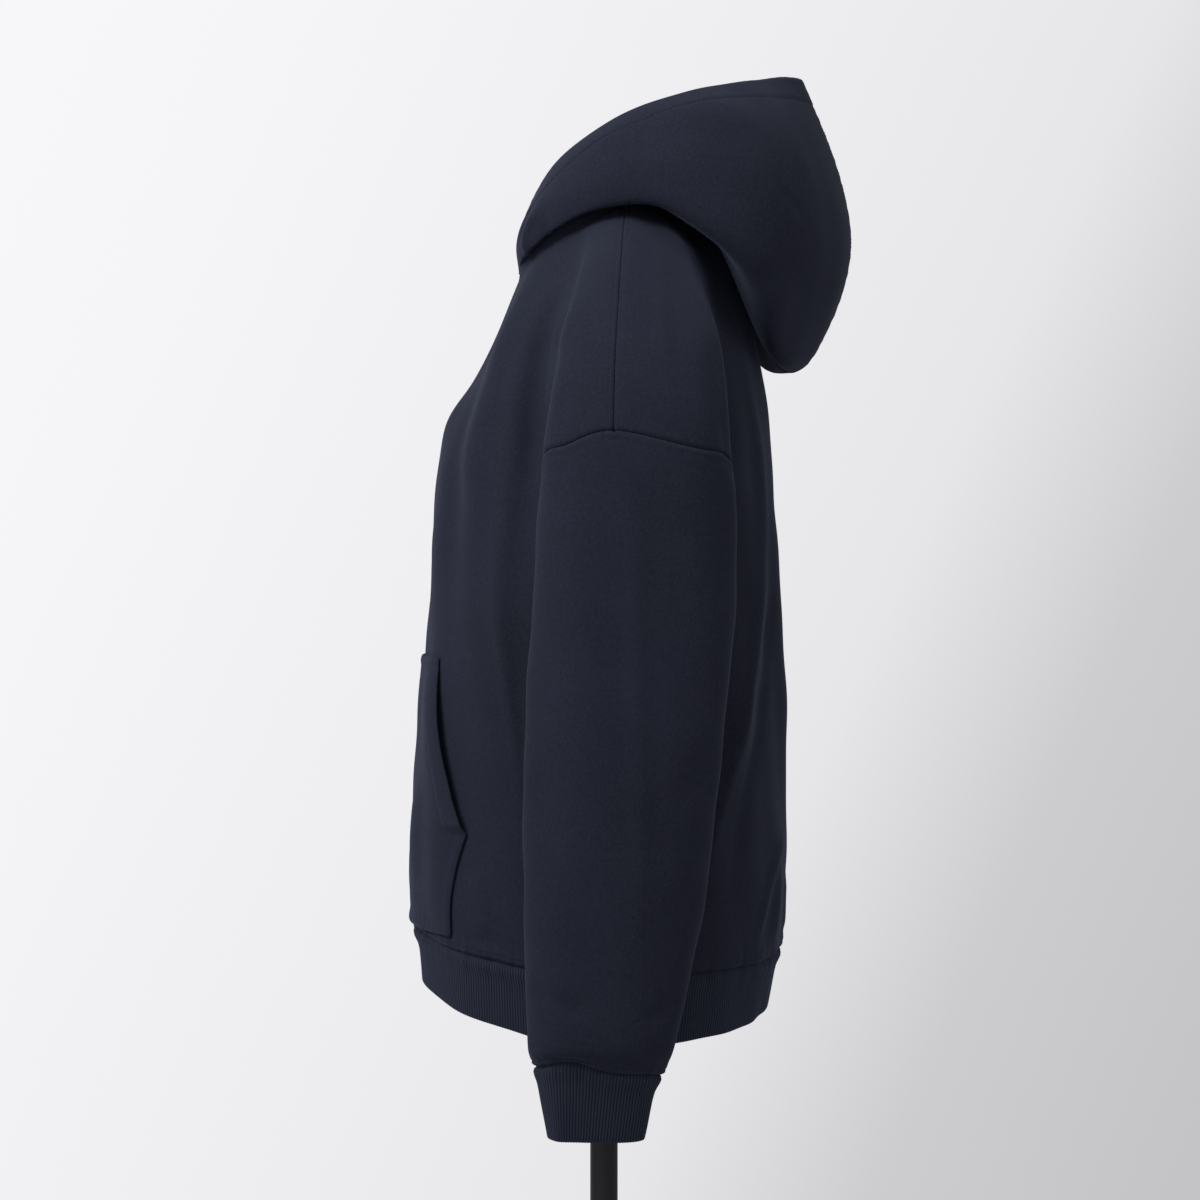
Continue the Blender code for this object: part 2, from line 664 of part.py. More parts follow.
def turned(name, profile, finish):
    """A round solid from its outline, radius and height, starting and ending on the axis."""
    n = ROUND_SEGMENTS
    points, faces, rings = [], [], []
    for radius, z in profile:
        if radius == 0:
            rings.append([len(points)] * n)
            points.append((0, 0, z))
        else:
            rings.append(list(range(len(points), len(points) + n)))
            points += [
                (radius * math.cos(2 * math.pi * k / n), radius * math.sin(2 * math.pi * k / n), z)
                for k in range(n)
            ]
    for low, high in zip(rings, rings[1:]):
        for k in range(n):
            face = [low[k], low[(k + 1) % n], high[(k + 1) % n], high[k]]
            kept = [v for j, v in enumerate(face) if v not in face[:j]]
            if len(kept) > 2:
                faces.append(kept)
    return mesh_object(name, points, faces, finish)


def stand(form_bottom):
    metal = material("metal", 0.35)
    turned(
        "stand_base",
        [
            (0, 0),
            (BASE_RADIUS - TURNED_EDGE, 0),
            (BASE_RADIUS, TURNED_EDGE),
            (BASE_RADIUS, BASE_THICK - TURNED_EDGE),
            (BASE_RADIUS - TURNED_EDGE, BASE_THICK),
            (SOCKET_RADIUS, BASE_THICK),
            (SOCKET_RADIUS, SOCKET_HEIGHT - TURNED_EDGE),
            (SOCKET_RADIUS - TURNED_EDGE, SOCKET_HEIGHT),
            (POLE_RADIUS + SEAM_GAP, SOCKET_HEIGHT),
            (POLE_RADIUS + SEAM_GAP, SOCKET_HEIGHT - SOCKET_DEPTH),
            (0, SOCKET_HEIGHT - SOCKET_DEPTH),
        ],
        metal,
    )
    bottom = SOCKET_HEIGHT - SOCKET_DEPTH + SEAM_GAP
    top = form_bottom - SEAM_GAP
    turned("stand_pole", [(0, bottom), (POLE_RADIUS, bottom), (POLE_RADIUS, top), (0, top)], metal)


def lowest_rim(points, faces):
    """The open edge's points that lie along the neckline."""
    rim = {i for edge in open_edges(faces) for i in edge}
    line = [neck_point(a) for a in range(-90, 91, 2)]
    return {
        i
        for i in rim
        if min(math.dist((abs(points[i][0]), *points[i][1:]), q) for q in line) < NECKLINE_REACH
    }


def kept_clear(points, skin, fixed):
    """The hood's points, pushed out of the shoulders where it would lie closer to them than HOOD_CLEAR."""
    kept = points.copy()
    for i, place in enumerate(points):
        if i in fixed:
            continue
        near, normal, _, distance = skin.find_nearest(Vector(place))
        if normal.z < -0.2 or distance > 0.05:  # over the back's hollow, or well away from the shoulders
            continue
        height = float((Vector(place) - near).dot(normal))
        wanted = min(HOOD_CLEAR, HOOD_CLEAR_NECK + 0.25 * min(math.dist(place, points[j]) for j in fixed))
        if height < wanted:
            kept[i] = place + np.array(normal) * (wanted - height)
    return kept


def main():
    clear_scene()
    body = Cage()
    for side, suffix in ((1, "left"), (-1, "right")):
        add_body(body, side, suffix)
    points, faces, panels = rounded(body, 1)
    cloth = cut_panels(points, faces, panels, body.names)
    skin = BVHTree.FromPolygons([Vector(p) for p in points], faces)

    def shoulder_height(place):
        hit = skin.ray_cast(Vector((place[0], place[1], ABOVE)), Vector((0, 0, -1)))[0]
        return None if hit is None else hit.z

    hood = Cage()
    for side, suffix in ((1, "left"), (-1, "right")):
        add_hood(hood, side, suffix, shoulder_height)
    hood_points, hood_faces, hood_panels = rounded(hood, 1)
    neckline = lowest_rim(hood_points, hood_faces)
    hood_points = kept_clear(hood_points, skin, neckline)
    seams = shared_points(hood_faces, hood_panels) | neckline
    cut_panels(hood_points, hood_faces, hood_panels, hood.names, seams)
    pocket(cloth["front"])
    form = form_torso()
    lift = seat_form(form, [cloth["front"], cloth["back"]])
    stand(FORM[0].z + lift)


main()
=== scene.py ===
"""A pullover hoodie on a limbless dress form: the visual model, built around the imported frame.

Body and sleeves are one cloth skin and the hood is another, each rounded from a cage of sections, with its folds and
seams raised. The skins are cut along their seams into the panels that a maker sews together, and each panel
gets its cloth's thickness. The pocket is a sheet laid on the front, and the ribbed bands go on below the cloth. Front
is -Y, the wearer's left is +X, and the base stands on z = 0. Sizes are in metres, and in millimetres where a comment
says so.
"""

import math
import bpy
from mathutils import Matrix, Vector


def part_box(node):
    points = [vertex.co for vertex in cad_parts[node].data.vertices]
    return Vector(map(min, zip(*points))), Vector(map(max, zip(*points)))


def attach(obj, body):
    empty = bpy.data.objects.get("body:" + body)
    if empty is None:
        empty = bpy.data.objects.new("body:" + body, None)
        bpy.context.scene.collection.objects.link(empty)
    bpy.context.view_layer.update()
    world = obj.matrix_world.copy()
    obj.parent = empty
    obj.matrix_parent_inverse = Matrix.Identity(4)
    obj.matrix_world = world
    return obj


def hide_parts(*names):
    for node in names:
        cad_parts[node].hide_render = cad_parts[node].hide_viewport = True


bl_info = {
    "name": "Pullover Hoodie on a Dress Form",
    "version": (1, 0, 0),
    "blender": (4, 5, 0),
    "location": "View3D > Sidebar > Hoodie",
    "description": "Builds a heavy knit hoodie, its dress form and stand, and a pale studio",
    "category": "Add Mesh",
}

from collections import namedtuple
from functools import lru_cache

import bpy
import numpy as np
from mathutils import Vector
from mathutils.bvhtree import BVHTree
from mathutils.kdtree import KDTree

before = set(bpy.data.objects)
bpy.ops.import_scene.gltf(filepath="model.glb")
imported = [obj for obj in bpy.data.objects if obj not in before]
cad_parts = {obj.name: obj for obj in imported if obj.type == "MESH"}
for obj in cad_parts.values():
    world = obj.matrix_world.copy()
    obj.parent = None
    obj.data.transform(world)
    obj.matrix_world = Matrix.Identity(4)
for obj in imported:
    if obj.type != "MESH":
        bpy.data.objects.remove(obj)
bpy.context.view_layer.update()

# ================================================================ the hoodie's cage
# Angles go round a section in plan: -90 is the front, 0 the wearer's left and 90 the back.
ARM_SIDE = 0.193  # inner side of a hanging sleeve, from the middle of the body
NECK_WIDTH, NECK_FRONT, NECK_BACK = 0.088, 0.0765, 0.062
NECK_FRONT_Z, NECK_SIDE_Z, NECK_BACK_Z = 1.328, 1.383, 1.378
NECK_CURVE = (1.2, 2)  # how the neckline falls from its sides to the front and to the back
ARMHOLE_TOP = 1.1765
# How far the armhole seam drops below its top, by the angle round the sleeve.
ARMHOLE = {-180: 0.145, -160: 0.134, -140: 0.106, -100: 0.0290, -50: 0.0125, -15: 0.0, 40: 0.0150, 92: 0.0285,
           135: 0.098, 158: 0.132, 180: 0.145}  # fmt: skip
SEAM_ANGLE = 22  # where the shoulder seam meets the neckline

# A body section: its height at the front, sides and back, its half width, how far it reaches to the front and back
# of the pole, and how square it is in plan.
Body = namedtuple("Body", "name z_front z_side z_back width front back square")
BODY = [
    Body("underarm", 1.090, 1.030, 1.105, 0.185, 0.1555, 0.1545, 2.3),
    Body("waist", 0.985, 0.950, 0.985, 0.184, 0.1617, 0.1620, 2.3),
    Body("pocket", 0.890, 0.865, 0.890, 0.186, 0.1660, 0.1637, 2.3),
    Body("hip", 0.820, 0.795, 0.815, 0.187, 0.1705, 0.1654, 2.3),
    Body("blouse", 0.766, 0.744, 0.750, 0.186, 0.1713, 0.1632, 2.3),
    Body("hem seam", 0.744, 0.720, 0.722, 0.183, 0.1683, 0.1570, 2.3),
    Body("hem", 0.696, 0.660, 0.670, 0.180, 0.1638, 0.1465, 2.3),
]
HEM_SEAM = 5  # the section that the hem band is sewn at
SECTION_CURVE = 1.3  # how a body section's height goes from its sides to its front and back

# A sleeve section: height, where its middle lies from the pole to the back, half its depth from front to back, and
# half its thickness from side to side.
Sleeve = namedtuple("Sleeve", "name z middle depth thick square")
SLEEVE = [
    Sleeve("armhole", ARMHOLE_TOP, 0.0262, 0.0783, 0.0410, 1.9),
    Sleeve("upper arm", 1.090, 0.0242, 0.0836, 0.0430, 1.9),
    Sleeve("elbow", 0.990, 0.0203, 0.0846, 0.0435, 1.9),
    Sleeve("forearm", 0.890, 0.0142, 0.0815, 0.0420, 1.9),
    Sleeve("lower arm", 0.790, 0.0070, 0.0750, 0.0385, 1.9),
    Sleeve("wrist", 0.715, 0.0008, 0.0668, 0.0340, 2.0),
    Sleeve("gather", 0.667, -0.0036, 0.0608, 0.0315, 2.0),
    Sleeve("cuff seam", 0.650, -0.0047, 0.0532, 0.0250, 2.2),
    Sleeve("cuff end", 0.5905, -0.0075, 0.0400, 0.0170, 2.8),
]
CUFF_SEAM = 7  # the section that a cuff is sewn at
ARMHOLE_FADE = 0.4  # each section below the armhole drops this much less of the armhole's own drop

# The angles of the cage's columns, on the body and on the sleeve. The corners are where the two part.
BODY_FRONT_ANGLES = [-90, -72, -55, -38, -22]
BODY_SIDE_ANGLES = [-10, 2, 14]
BODY_BACK_ANGLES = [26, 41, 57, 73, 90]
SLEEVE_OUTER_ANGLES = [-100, -50, -15, 40, 92]
SLEEVE_INNER_ANGLES = [-160, 180, 158]
SLEEVE_CORNER_ANGLES = [-140, 135]
SHOULDER_COLUMN = 7  # the yoke's column at the shoulder seam
SLEEVE_INSEAM = 8  # the sleeve's column that its long seam runs down, on the inner side of the arm

# A column of the yoke, from the neckline down to the underarm: where it leaves the neckline, turned how far to the
# side and sloping how far down, how far its curve reaches out from there, and how far it rises over its foot and
# leans in there.
Column = namedtuple("Column", "name column neck_angle turn slope reach rise lean")
YOKE = [
    Column("centre front", 0, -90, 0, 73, 0.151, 0.143, 0.000),
    Column("front chest", 2, -62, 0, 68, 0.118, 0.125, 0.002),
    Column("front underarm", 4, -35, 0, 44, 0.090, 0.100, 0.002),
    Column("shoulder seam", 7, SEAM_ANGLE, -14, 20, 0.095, 0.070, 0.000),
    Column("back underarm", 10, 52, 0, 28, 0.090, 0.110, 0.000),
    Column("centre back", 14, 90, 0, 20, 0.074, 0.155, 0.006),
]
YOKE_ROWS = 4

# A drape moves a column of the body out, and to the back, between two heights.
DRAPE_CURVE = 0.6  # below 1, a drape is fullest above its middle
DRAPE_FRONT = 1.6  # how much more it goes to the front or back than to the side
Drape = namedtuple("Drape", "name column top bottom out back")
DRAPES = [
    Drape("front drape", 3, 1.330, 0.800, 0.0060, 0.0),
    Drape("front valley", 4, 1.320, 1.040, -0.0060, 0.0),
    Drape("front of the arm", 5, 1.375, 1.150, 0.0, 0.0190),
    Drape("back drape", 11, 1.320, 0.800, 0.0060, 0.0),
    Drape("shoulder blade", 10, 1.400, 1.110, 0.0120, 0.0),
    Drape("shoulder blade", 9, 1.400, 1.150, 0.0050, 0.0),
]

MM = 1000  # millimetres in a metre

# A hood station, in millimetres, from the centre front round to the centre back: the fold that lies on the shoulders,
# three heights of the side that bags out above it, and the rim.
Hood = namedtuple("Hood", "name fold low side high rim")
HOOD = [
    Hood("centre front", (0, -78, 1338.5), (0, -78.5, 1343.5), (0, -79, 1348), (0, -79, 1352.5), (0, -79, 1357)),
    Hood("throat", (50, -72.5, 1344.5), (55, -73.5, 1355.5), (52, -72.5, 1369), (39, -70, 1378), (27, -68, 1386)),
    Hood("collar", (88, -47.5, 1359), (95, -45.5, 1373.5), (96, -44, 1390), (82, -45, 1408), (63, -46, 1420)),
    Hood("neck side", (115, -8, 1375.5), (123, -5, 1393), (123, -2, 1414), (112, -5, 1435), (91, -7, 1448.5)),
    Hood("shoulder", (135, 43, 1377), (144, 47, 1399), (144, 50, 1425), (130, 46, 1452), (102, 40, 1470)),
    Hood("shoulder blade", (145, 86, 1353), (153, 100, 1378), (148, 106, 1418), (126, 98, 1458), (90, 88, 1486)),
    Hood("back", (131, 124.5, 1312), (138, 148, 1339), (130, 162, 1382), (102, 154, 1446), (60, 134.5, 1497)),
    Hood("lower back", (82, 142, 1257), (84, 175, 1290), (76, 200, 1354), (56, 189, 1437), (28, 164.5, 1505)),
    Hood("centre back", (0, 157.5, 1249), (0, 204, 1280), (0, 224, 1353), (0, 211, 1430), (0, 180, 1506.5)),
]  # fmt: skip
STAND = 0.012  # the hood stands up this far out of the neckline before it rolls over
STAND_SHARE = (0.35, 0.25)  # how far towards the fold that row lies, and how much less where the hood rolls over
UNDER_SHARE = (0.70, 0.20)  # and the same for the row between it and the fold
HOOD_SEAM = 0.0008  # the lower edge is drawn this far over the neckline, and then fitted to it
HOOD_CLEAR = 0.0014  # the hood's skin lies at least this far off the shoulders,
HOOD_LEAST, HOOD_OPENING = 0.0006, 0.1  # or less beside the seam: this much, and a share of the way from it
ROLL_START, ROLL_RUN = 0.011, 0.007  # a fold this far out of the neckline rolls over
HANG_START, HANG_RUN = 0.030, 0.050  # and one this far below the neckline hangs from it,
HANG_SHARE = 0.6  # by this share of the height between the two

# ================================================================ seams, folds and other sewn detail
SEAM_LAP = 0.00004  # what a panel's edge runs past its seam, so that no light comes through
EDGE_STEPS = 4  # flats round the rounded edge of a wall
LEVELS = 5  # subdivisions of the cage, so a cell of the finest grid is about 1.7 mm
DETAIL = 0.0125  # the finest cells are kept within this distance of a seam, rim or stitch row

# A seam between two panels, or several: the heights that its top lies between, how far its stitch rows lie from it on
# each panel, how deep it sinks, and how high the cloth puckers and how far it swells out beside it.
Seam = namedtuple("Seam", "name first second low high rows_first rows_second dip gather swell")
BODY_SEAMS = [
    Seam("shoulder", "front", "back", 1.16, 1.50, (0.0032,), (0.0032,), 0.0007, 0.0002, 0.0),
    Seam("side", "front", "back", 0.60, 1.16, (), (), 0.0010, 0.0004, 0.0),
    Seam("armhole", ("front", "back"), "sleeve", 0.60, 1.50, (), (0.0070,), 0.0009, 0.0003, 0.0),
    Seam("hem", "front", "hem_band", 0.60, 1.50, (0.0052,), (), 0.0010, 0.0007, 0.0028),
    Seam("hem", "back", "hem_band", 0.60, 1.50, (0.0052,), (), 0.0010, 0.0007, 0.0022),
    Seam("cuff", "sleeve", "cuff", 0.60, 1.50, (0.0052,), (), 0.0010, 0.0008, 0.0014),
    Seam("neck", "front", "front", 1.30, 1.50, (0.0055,), (), 0.0, 0.0, 0.0),
    Seam("neck", "back", "back", 1.30, 1.50, (0.0055,), (), 0.0, 0.0, 0.0),
]
HOOD_SEAMS = [
    Seam("centre", "hood_left", "hood_right", 1.40, 1.60, (0.0060,), (0.0060,), 0.0010, 0.0004, 0.0),
    Seam("throat", "hood_left", "hood_right", 0.60, 1.40, (), (), 0.0010, 0.0, 0.0),
    Seam("casing", "hood_left", "hood_left", 1.41, 1.60, (0.0250,), (), 0.0, 0.0003, 0.0),
    Seam("casing", "hood_right", "hood_right", 1.41, 1.60, (0.0250,), (), 0.0, 0.0003, 0.0),
]
SWELL_AT, SWELL_WIDTH = 0.006, 0.007  # where the cloth beside a gathered seam swells out most
SEAM_WIDTH = 0.0017  # of the dip along a seam
PUCKER_REACH, PUCKER_CLEAR = 0.010, 0.0015  # how far puckers run in from a seam, and where they start
NECK_EASE = 0.020  # the hood follows the neckline over this distance
NECK_OVERLAP = 0.0006  # and its edge is sewn this far below the neckline's
CASING = 0.025  # width of the hood's turned edge
CASING_THICKNESS = 0.0042  # two layers of cloth
RELIEF = 0.0004  # how far a seam allowance or turned edge lifts the cloth over it
RELIEF_PAST, RELIEF_RUN = 0.0012, 0.0022  # it goes this far past its last row, and takes this far to come down
STITCH_DIP = 0.0006  # how deep a stitch row pulls the cloth in
STITCH_WIDTH = 0.0013  # of the dip along a stitch row
STITCH_PITCH, STITCH_LENGTH = 0.0034, 0.0022
STITCH_STRAY = 0.0025  # a stitch further than this from its panel is left out
THREAD_WIDTH, THREAD_HEIGHT, THREAD_LIFT = 0.00055, 0.0004, 0.00005
SPINDLE = ((-0.28, 0.8), (0.0, 1.0), (0.28, 0.8))  # a stitch's rings: place along it and size
SPINDLE_SIDES = 6
RIB_PITCH, RIB_HEIGHT, RIB_SAMPLES = 0.0026, 0.0006, 6
RIB_CREST = 0.7  # below 1, a rib's crest is broad and its furrow narrow
RIB_AT_SEAM, RIB_GAIN, RIB_RUN = 0.55, 0.45, 0.006  # its share of its height at the seam; the rest; over how far
BAND_RUCKS = (0.019, 0.041, 0.083)  # lengths of the waves that the gathers press into a band at its seam,
BAND_RUCK, BAND_RUCK_REACH = 0.0007, 0.018  # their height and how far down they reach
BAND_WAVES, BAND_WAVE = (0.110, 0.067, 0.171), 0.0006  # the slow waves of a whole band
BAND_THICKNESS = 0.0036  # two layers of rib knit
ALLOWANCE_REACH = 0.0025  # how far a band's edge goes up into the cloth's wall
ALLOWANCE_DEPTHS = (0.0006, 0.0013)  # its faces, under the cloth's outer face
SEWN_TO = {"hem_band": ("front", "back"), "cuff_left": ("sleeve_left",), "cuff_right": ("sleeve_right",)}
SEAM_DIP, SEAM_DIP_WIDTH = 0.0018, 0.0030  # how a band sinks at its seam

# How the cuff seam wanders up and down round the wrist: height by angle, measured as in sleeve_point.
CUFF_WAVE = {
    -180: 0.0, -140: 0.004, -90: 0.001, -60: 0.003, -41: 0.0068, -30: 0.0085, -19: 0.0076, -10: 0.0048,
    0: 0.0012, 10: -0.0008, 39: -0.003, 90: -0.0065, 135: -0.001, 180: 0.0,
}  # fmt: skip
CUFF_WAVE_REACH, CUFF_WAVE_TURN = 0.014, 25  # its reach along the sleeve; how the right one is turned from the left

# The pocket's outline, from its top edge to the hem seam: height, half width and how open its edge is there.
Pocket = namedtuple("Pocket", "name z width open")
POCKET = [
    Pocket("top edge", 0.985, 0.102, 0.0),
    Pocket("top corner", 0.979, 0.103, 0.0),
    Pocket("opening", 0.973, 0.105, 1.0),
    Pocket("opening", 0.9215, 0.1175, 1.0),
    Pocket("opening", 0.8645, 0.1340, 1.0),
    Pocket("opening foot", 0.842, 0.1435, 1.0),
    Pocket("corner", 0.836, 0.1450, 0.0),
    Pocket("side", 0.824, 0.1425, 0.0),
    Pocket("side", 0.810, 0.1400, 0.0),
    Pocket("side", 0.784, 0.1372, 0.0),
    Pocket("hem seam", 0.748, 0.1345, 0.0),
]
POCKET_ROWS, POCKET_COLUMNS, POCKET_SAMPLES = 110, 130, 121
POCKET_CLOTH, POCKET_STANDOFF = 0.0018, 0.0012
POCKET_ROOM, POCKET_MOUTH = 0.0020, 0.0042  # how far the bag stands out, and its mouths past that
POCKET_EASE_TOP, POCKET_EASE_FOOT, POCKET_EASE_SIDE = 0.060, 0.040, 0.035  # how far in from its edges it is full
POCKET_MOUTH_REACH = 0.040  # how far in a mouth's fullness goes
POCKET_HEM = 0.020  # turned edge of a hand opening
POCKET_ROW = 0.0062  # stitch row of the sewn edges
POCKET_TURN = 0.0085  # turned edge of the sewn edges
POCKET_LAYER = 0.0009  # how far a turned edge lifts the cloth over it,
POCKET_LAYER_PAST, POCKET_LAYER_RUN = 0.0012, 0.0025  # how far past a hem's row, and how far it takes to come down
POCKET_ROLL, POCKET_ROLL_WIDTH = 0.0008, 0.0022  # how its edges round over
POCKET_CORNER = 0.840  # foot of the hand openings

# A section of the dress form: height, half width, how far it reaches to front and back, and where its middle lies.
Form = namedtuple("Form", "name z width front back middle")
FORM = [
    Form("underside edge", 0.775, 0.135, 0.090, 0.098, 0.000),
    Form("underside curve", 0.783, 0.156, 0.106, 0.113, 0.000),
    Form("hip", 0.850, 0.163, 0.112, 0.118, 0.000),
    Form("high hip", 0.930, 0.150, 0.102, 0.105, 0.000),
    Form("waist", 1.010, 0.126, 0.088, 0.082, 0.000),
    Form("ribs", 1.085, 0.134, 0.104, 0.086, 0.000),
    Form("bust", 1.150, 0.150, 0.126, 0.098, 0.000),
    Form("chest", 1.215, 0.158, 0.104, 0.102, 0.000),
    Form("arm plate", 1.275, 0.166, 0.076, 0.092, 0.006),
    Form("shoulder", 1.310, 0.166, 0.056, 0.074, 0.012),
    Form("shoulder slope", 1.334, 0.146, 0.046, 0.058, 0.014),
    Form("neck root", 1.356, 0.098, 0.044, 0.048, 0.014),
    Form("neck base", 1.380, 0.062, 0.046, 0.046, 0.010),
    Form("neck", 1.398, 0.055, 0.046, 0.046, 0.006),
    Form("neck top", 1.415, 0.054, 0.045, 0.046, 0.004),
]
FORM_COLUMNS = 24
FORM_EDGE, FORM_EDGE_ANGLE = 0.004, 50  # its underside's rounded edge; edges sharper than the angle get it
BASE_EDGE, BASE_EDGE_ANGLE = 0.0022, 60
SOCKET_CHAMFER = 0.003  # at its foot on the base plate
SHARP_ANGLE = 35  # steel edges sharper than this are shaded sharp
BASE_THICK, SOCKET_RADIUS, SOCKET_HEIGHT, SOCKET_DEPTH, POLE_CLEAR = 0.010, 0.024, 0.030, 0.024, 0.0003


# ---------------------------------------------------------------- points of a section
def power(value, exponent):
    """value to a power, keeping its sign."""
    return math.copysign(abs(value) ** exponent, value)


def body_point(section, angle):
    """A point of a body section."""
    c, s = math.cos(math.radians(angle)), math.sin(math.radians(angle))
    depth = section.front if s < 0 else section.back
    z_end = section.z_front if s < 0 else section.z_back
    z = section.z_side + (z_end - section.z_side) * abs(s) ** SECTION_CURVE
    return np.array([section.width * power(c, 2 / section.square), depth * power(s, 2 / section.square), z])


def sleeve_point(section, angle, share=0.0):
    """A point of a sleeve section, with a share of the armhole's drop."""
    c, s = math.cos(math.radians(angle)), math.sin(math.radians(angle))
    return np.array(
        [
            ARM_SIDE + section.thick * (1 + power(c, 2 / section.square)),
            section.middle + section.depth * power(s, 2 / section.square),
            section.z - share * np.interp(angle, list(ARMHOLE), list(ARMHOLE.values())),
        ]
    )


def neck_point(angle):
    """A point of the neckline."""
    c, s = math.cos(math.radians(angle)), math.sin(math.radians(angle))
    seam = math.sin(math.radians(SEAM_ANGLE))
    if s < seam:
        z = NECK_SIDE_Z + (NECK_FRONT_Z - NECK_SIDE_Z) * ((seam - s) / (1 + seam)) ** NECK_CURVE[0]
    else:
        z = NECK_SIDE_Z + (NECK_BACK_Z - NECK_SIDE_Z) * ((s - seam) / (1 - seam)) ** NECK_CURVE[1]
    middle, half = (NECK_BACK - NECK_FRONT) / 2, (NECK_BACK + NECK_FRONT) / 2
    return np.array([NECK_WIDTH * c, middle + half * s, z])


def yoke_value(field, column):
    """A value of the yoke's table, at any of its columns."""
    return float(np.interp(column, [y.column for y in YOKE], [getattr(y, field) for y in YOKE]))


def draped(place, column):
    """A point of a yoke column, moved out or in by the drapes that run down it."""
    place = np.array(place)
    for drape in DRAPES:
        if drape.column == column and drape.bottom < place[2] < drape.top:
            along = (drape.top - place[2]) / (drape.top - drape.bottom)
            outward = np.array([place[0], DRAPE_FRONT * place[1], 0.0])
            swell = math.sin(math.pi * along**DRAPE_CURVE)
            place += drape.out * swell * outward / np.linalg.norm(outward)
            place[1] += drape.back * swell
    return place


def underarm_ring():
    """The section where body and sleeve part: (yoke ring, the saddle between the two underarm corners)."""
    body, arm = BODY[0], SLEEVE[0]

    def shared(body_angle, arm_angle):
        return (body_point(body, body_angle) + sleeve_point(arm, arm_angle, 1.0)) / 2

    front = [body_point(body, a) for a in BODY_FRONT_ANGLES[:-1]]
    back = [body_point(body, a) for a in BODY_BACK_ANGLES[1:]]
    corner_front = shared(BODY_FRONT_ANGLES[-1], SLEEVE_CORNER_ANGLES[0])
    corner_back = shared(BODY_BACK_ANGLES[0], SLEEVE_CORNER_ANGLES[1])
    outer = [sleeve_point(arm, a, 1.0) for a in SLEEVE_OUTER_ANGLES]
    saddle = [shared(a, b) for a, b in zip(BODY_SIDE_ANGLES, SLEEVE_INNER_ANGLES)]
    return front + [corner_front] + outer + [corner_back] + back, saddle


def yoke_rows(ring):
    """Rows of points from the neckline down to the underarm ring, each column on a cubic curve."""
    columns = []
    t = np.linspace(0, 1, YOKE_ROWS + 1)[:, None]
    for i, low in enumerate(ring):
        top = neck_point(yoke_value("neck_angle", i))
        slope = math.radians(yoke_value("slope", i))
        way = math.atan2(top[1], top[0]) + math.radians(yoke_value("turn", i))
        outward = np.array([math.cos(way), math.sin(way), 0.0])
        down = math.cos(slope) * outward - math.sin(slope) * np.array([0, 0, 1.0])
        leave = top + yoke_value("reach", i) * down
        arrive = low + np.array([0, 0, yoke_value("rise", i)]) - yoke_value("lean", i) * outward
        curve = (1 - t) ** 3 * top + 3 * t * (1 - t) ** 2 * leave + 3 * t * t * (1 - t) * arrive + t**3 * low
        columns.append([draped(p, i) if 0 < row < YOKE_ROWS else p for row, p in enumerate(curve)])
    return [[column[row] for column in columns] for row in range(YOKE_ROWS + 1)]


# ---------------------------------------------------------------- the cage and the skin
class Cage:
    """Points and four-sided faces, each with its panel's name and its column. Points at one place are one."""

    def __init__(self):
        self.points, self.faces, self.panels, self.names = [], [], [], []
        self.columns, self.turned = [], []
        self._at = {}

    def point(self, place, side):
        place = (float(place[0]) * side, float(place[1]), float(place[2]))
        key = tuple(round(v, 6) + 0.0 for v in place)
        if key not in self._at:
            self._at[key] = len(self.points)
            self.points.append(place)
        return self._at[key]

    def strip(self, upper, lower, side, panels):
        """Faces between two rows of points, mirrored where side is -1. panels has a name for each, or one for all."""
        if len(panels) == 1:
            panels = panels * (len(upper) - 1)
        for i, panel in enumerate(panels):
            corners = [upper[i], lower[i], lower[i + 1], upper[i + 1]]
            face = [self.point(p, side) for p in corners]
            if panel not in self.names:
                self.names.append(panel)
            self.faces.append(face if side > 0 else face[::-1])
            self.panels.append(self.names.index(panel))
            self.columns.append(i)
            self.turned.append(side < 0)


def add_body(cage, side, suffix):
    """Half the body with its sleeve, from the neckline down to the hem and the cuff."""
    ring, saddle = underarm_ring()
    rows = yoke_rows(ring)
    yoke_panels = ["front"] * SHOULDER_COLUMN + ["back"] * (len(ring) - 1 - SHOULDER_COLUMN)
    for upper, lower in zip(rows, rows[1:]):
        cage.strip(upper, lower, side, yoke_panels)
    n_front, n_back, n_side = len(BODY_FRONT_ANGLES), len(BODY_BACK_ANGLES), len(BODY_SIDE_ANGLES)
    angles = BODY_FRONT_ANGLES + BODY_SIDE_ANGLES + BODY_BACK_ANGLES
    columns = list(range(n_front)) + [None] * n_side + list(range(len(ring) - n_back, len(ring)))
    body_rows = [ring[:n_front] + saddle + ring[-n_back:]]
    for section in BODY[1:]:
        body_rows.append([draped(body_point(section, a), column) for a, column in zip(angles, columns)])
    side_seam = n_front + 1
    body_panels = ["front"] * side_seam + ["back"] * (len(angles) - 1 - side_seam)
    for i, (upper, lower) in enumerate(zip(body_rows, body_rows[1:])):
        cage.strip(upper, lower, side, body_panels if i < HEM_SEAM else ["hem_band"])
    arm_angles = [SLEEVE_CORNER_ANGLES[0]] + SLEEVE_OUTER_ANGLES + [SLEEVE_CORNER_ANGLES[1]]
    arm_angles += SLEEVE_INNER_ANGLES[::-1]
    sleeve_rows = [ring[n_front - 1 : -n_back + 1] + saddle[::-1]]
    for k, section in enumerate(SLEEVE[1:], 1):
        share = max(0.0, 1.0 - ARMHOLE_FADE * k)
        sleeve_rows.append([sleeve_point(section, a, share) for a in arm_angles])
    for i, (upper, lower) in enumerate(zip(sleeve_rows, sleeve_rows[1:])):
        panel = f"sleeve_{suffix}" if i < CUFF_SEAM else f"cuff_{suffix}"
        cage.strip(upper + upper[:1], lower + lower[:1], side, [panel])


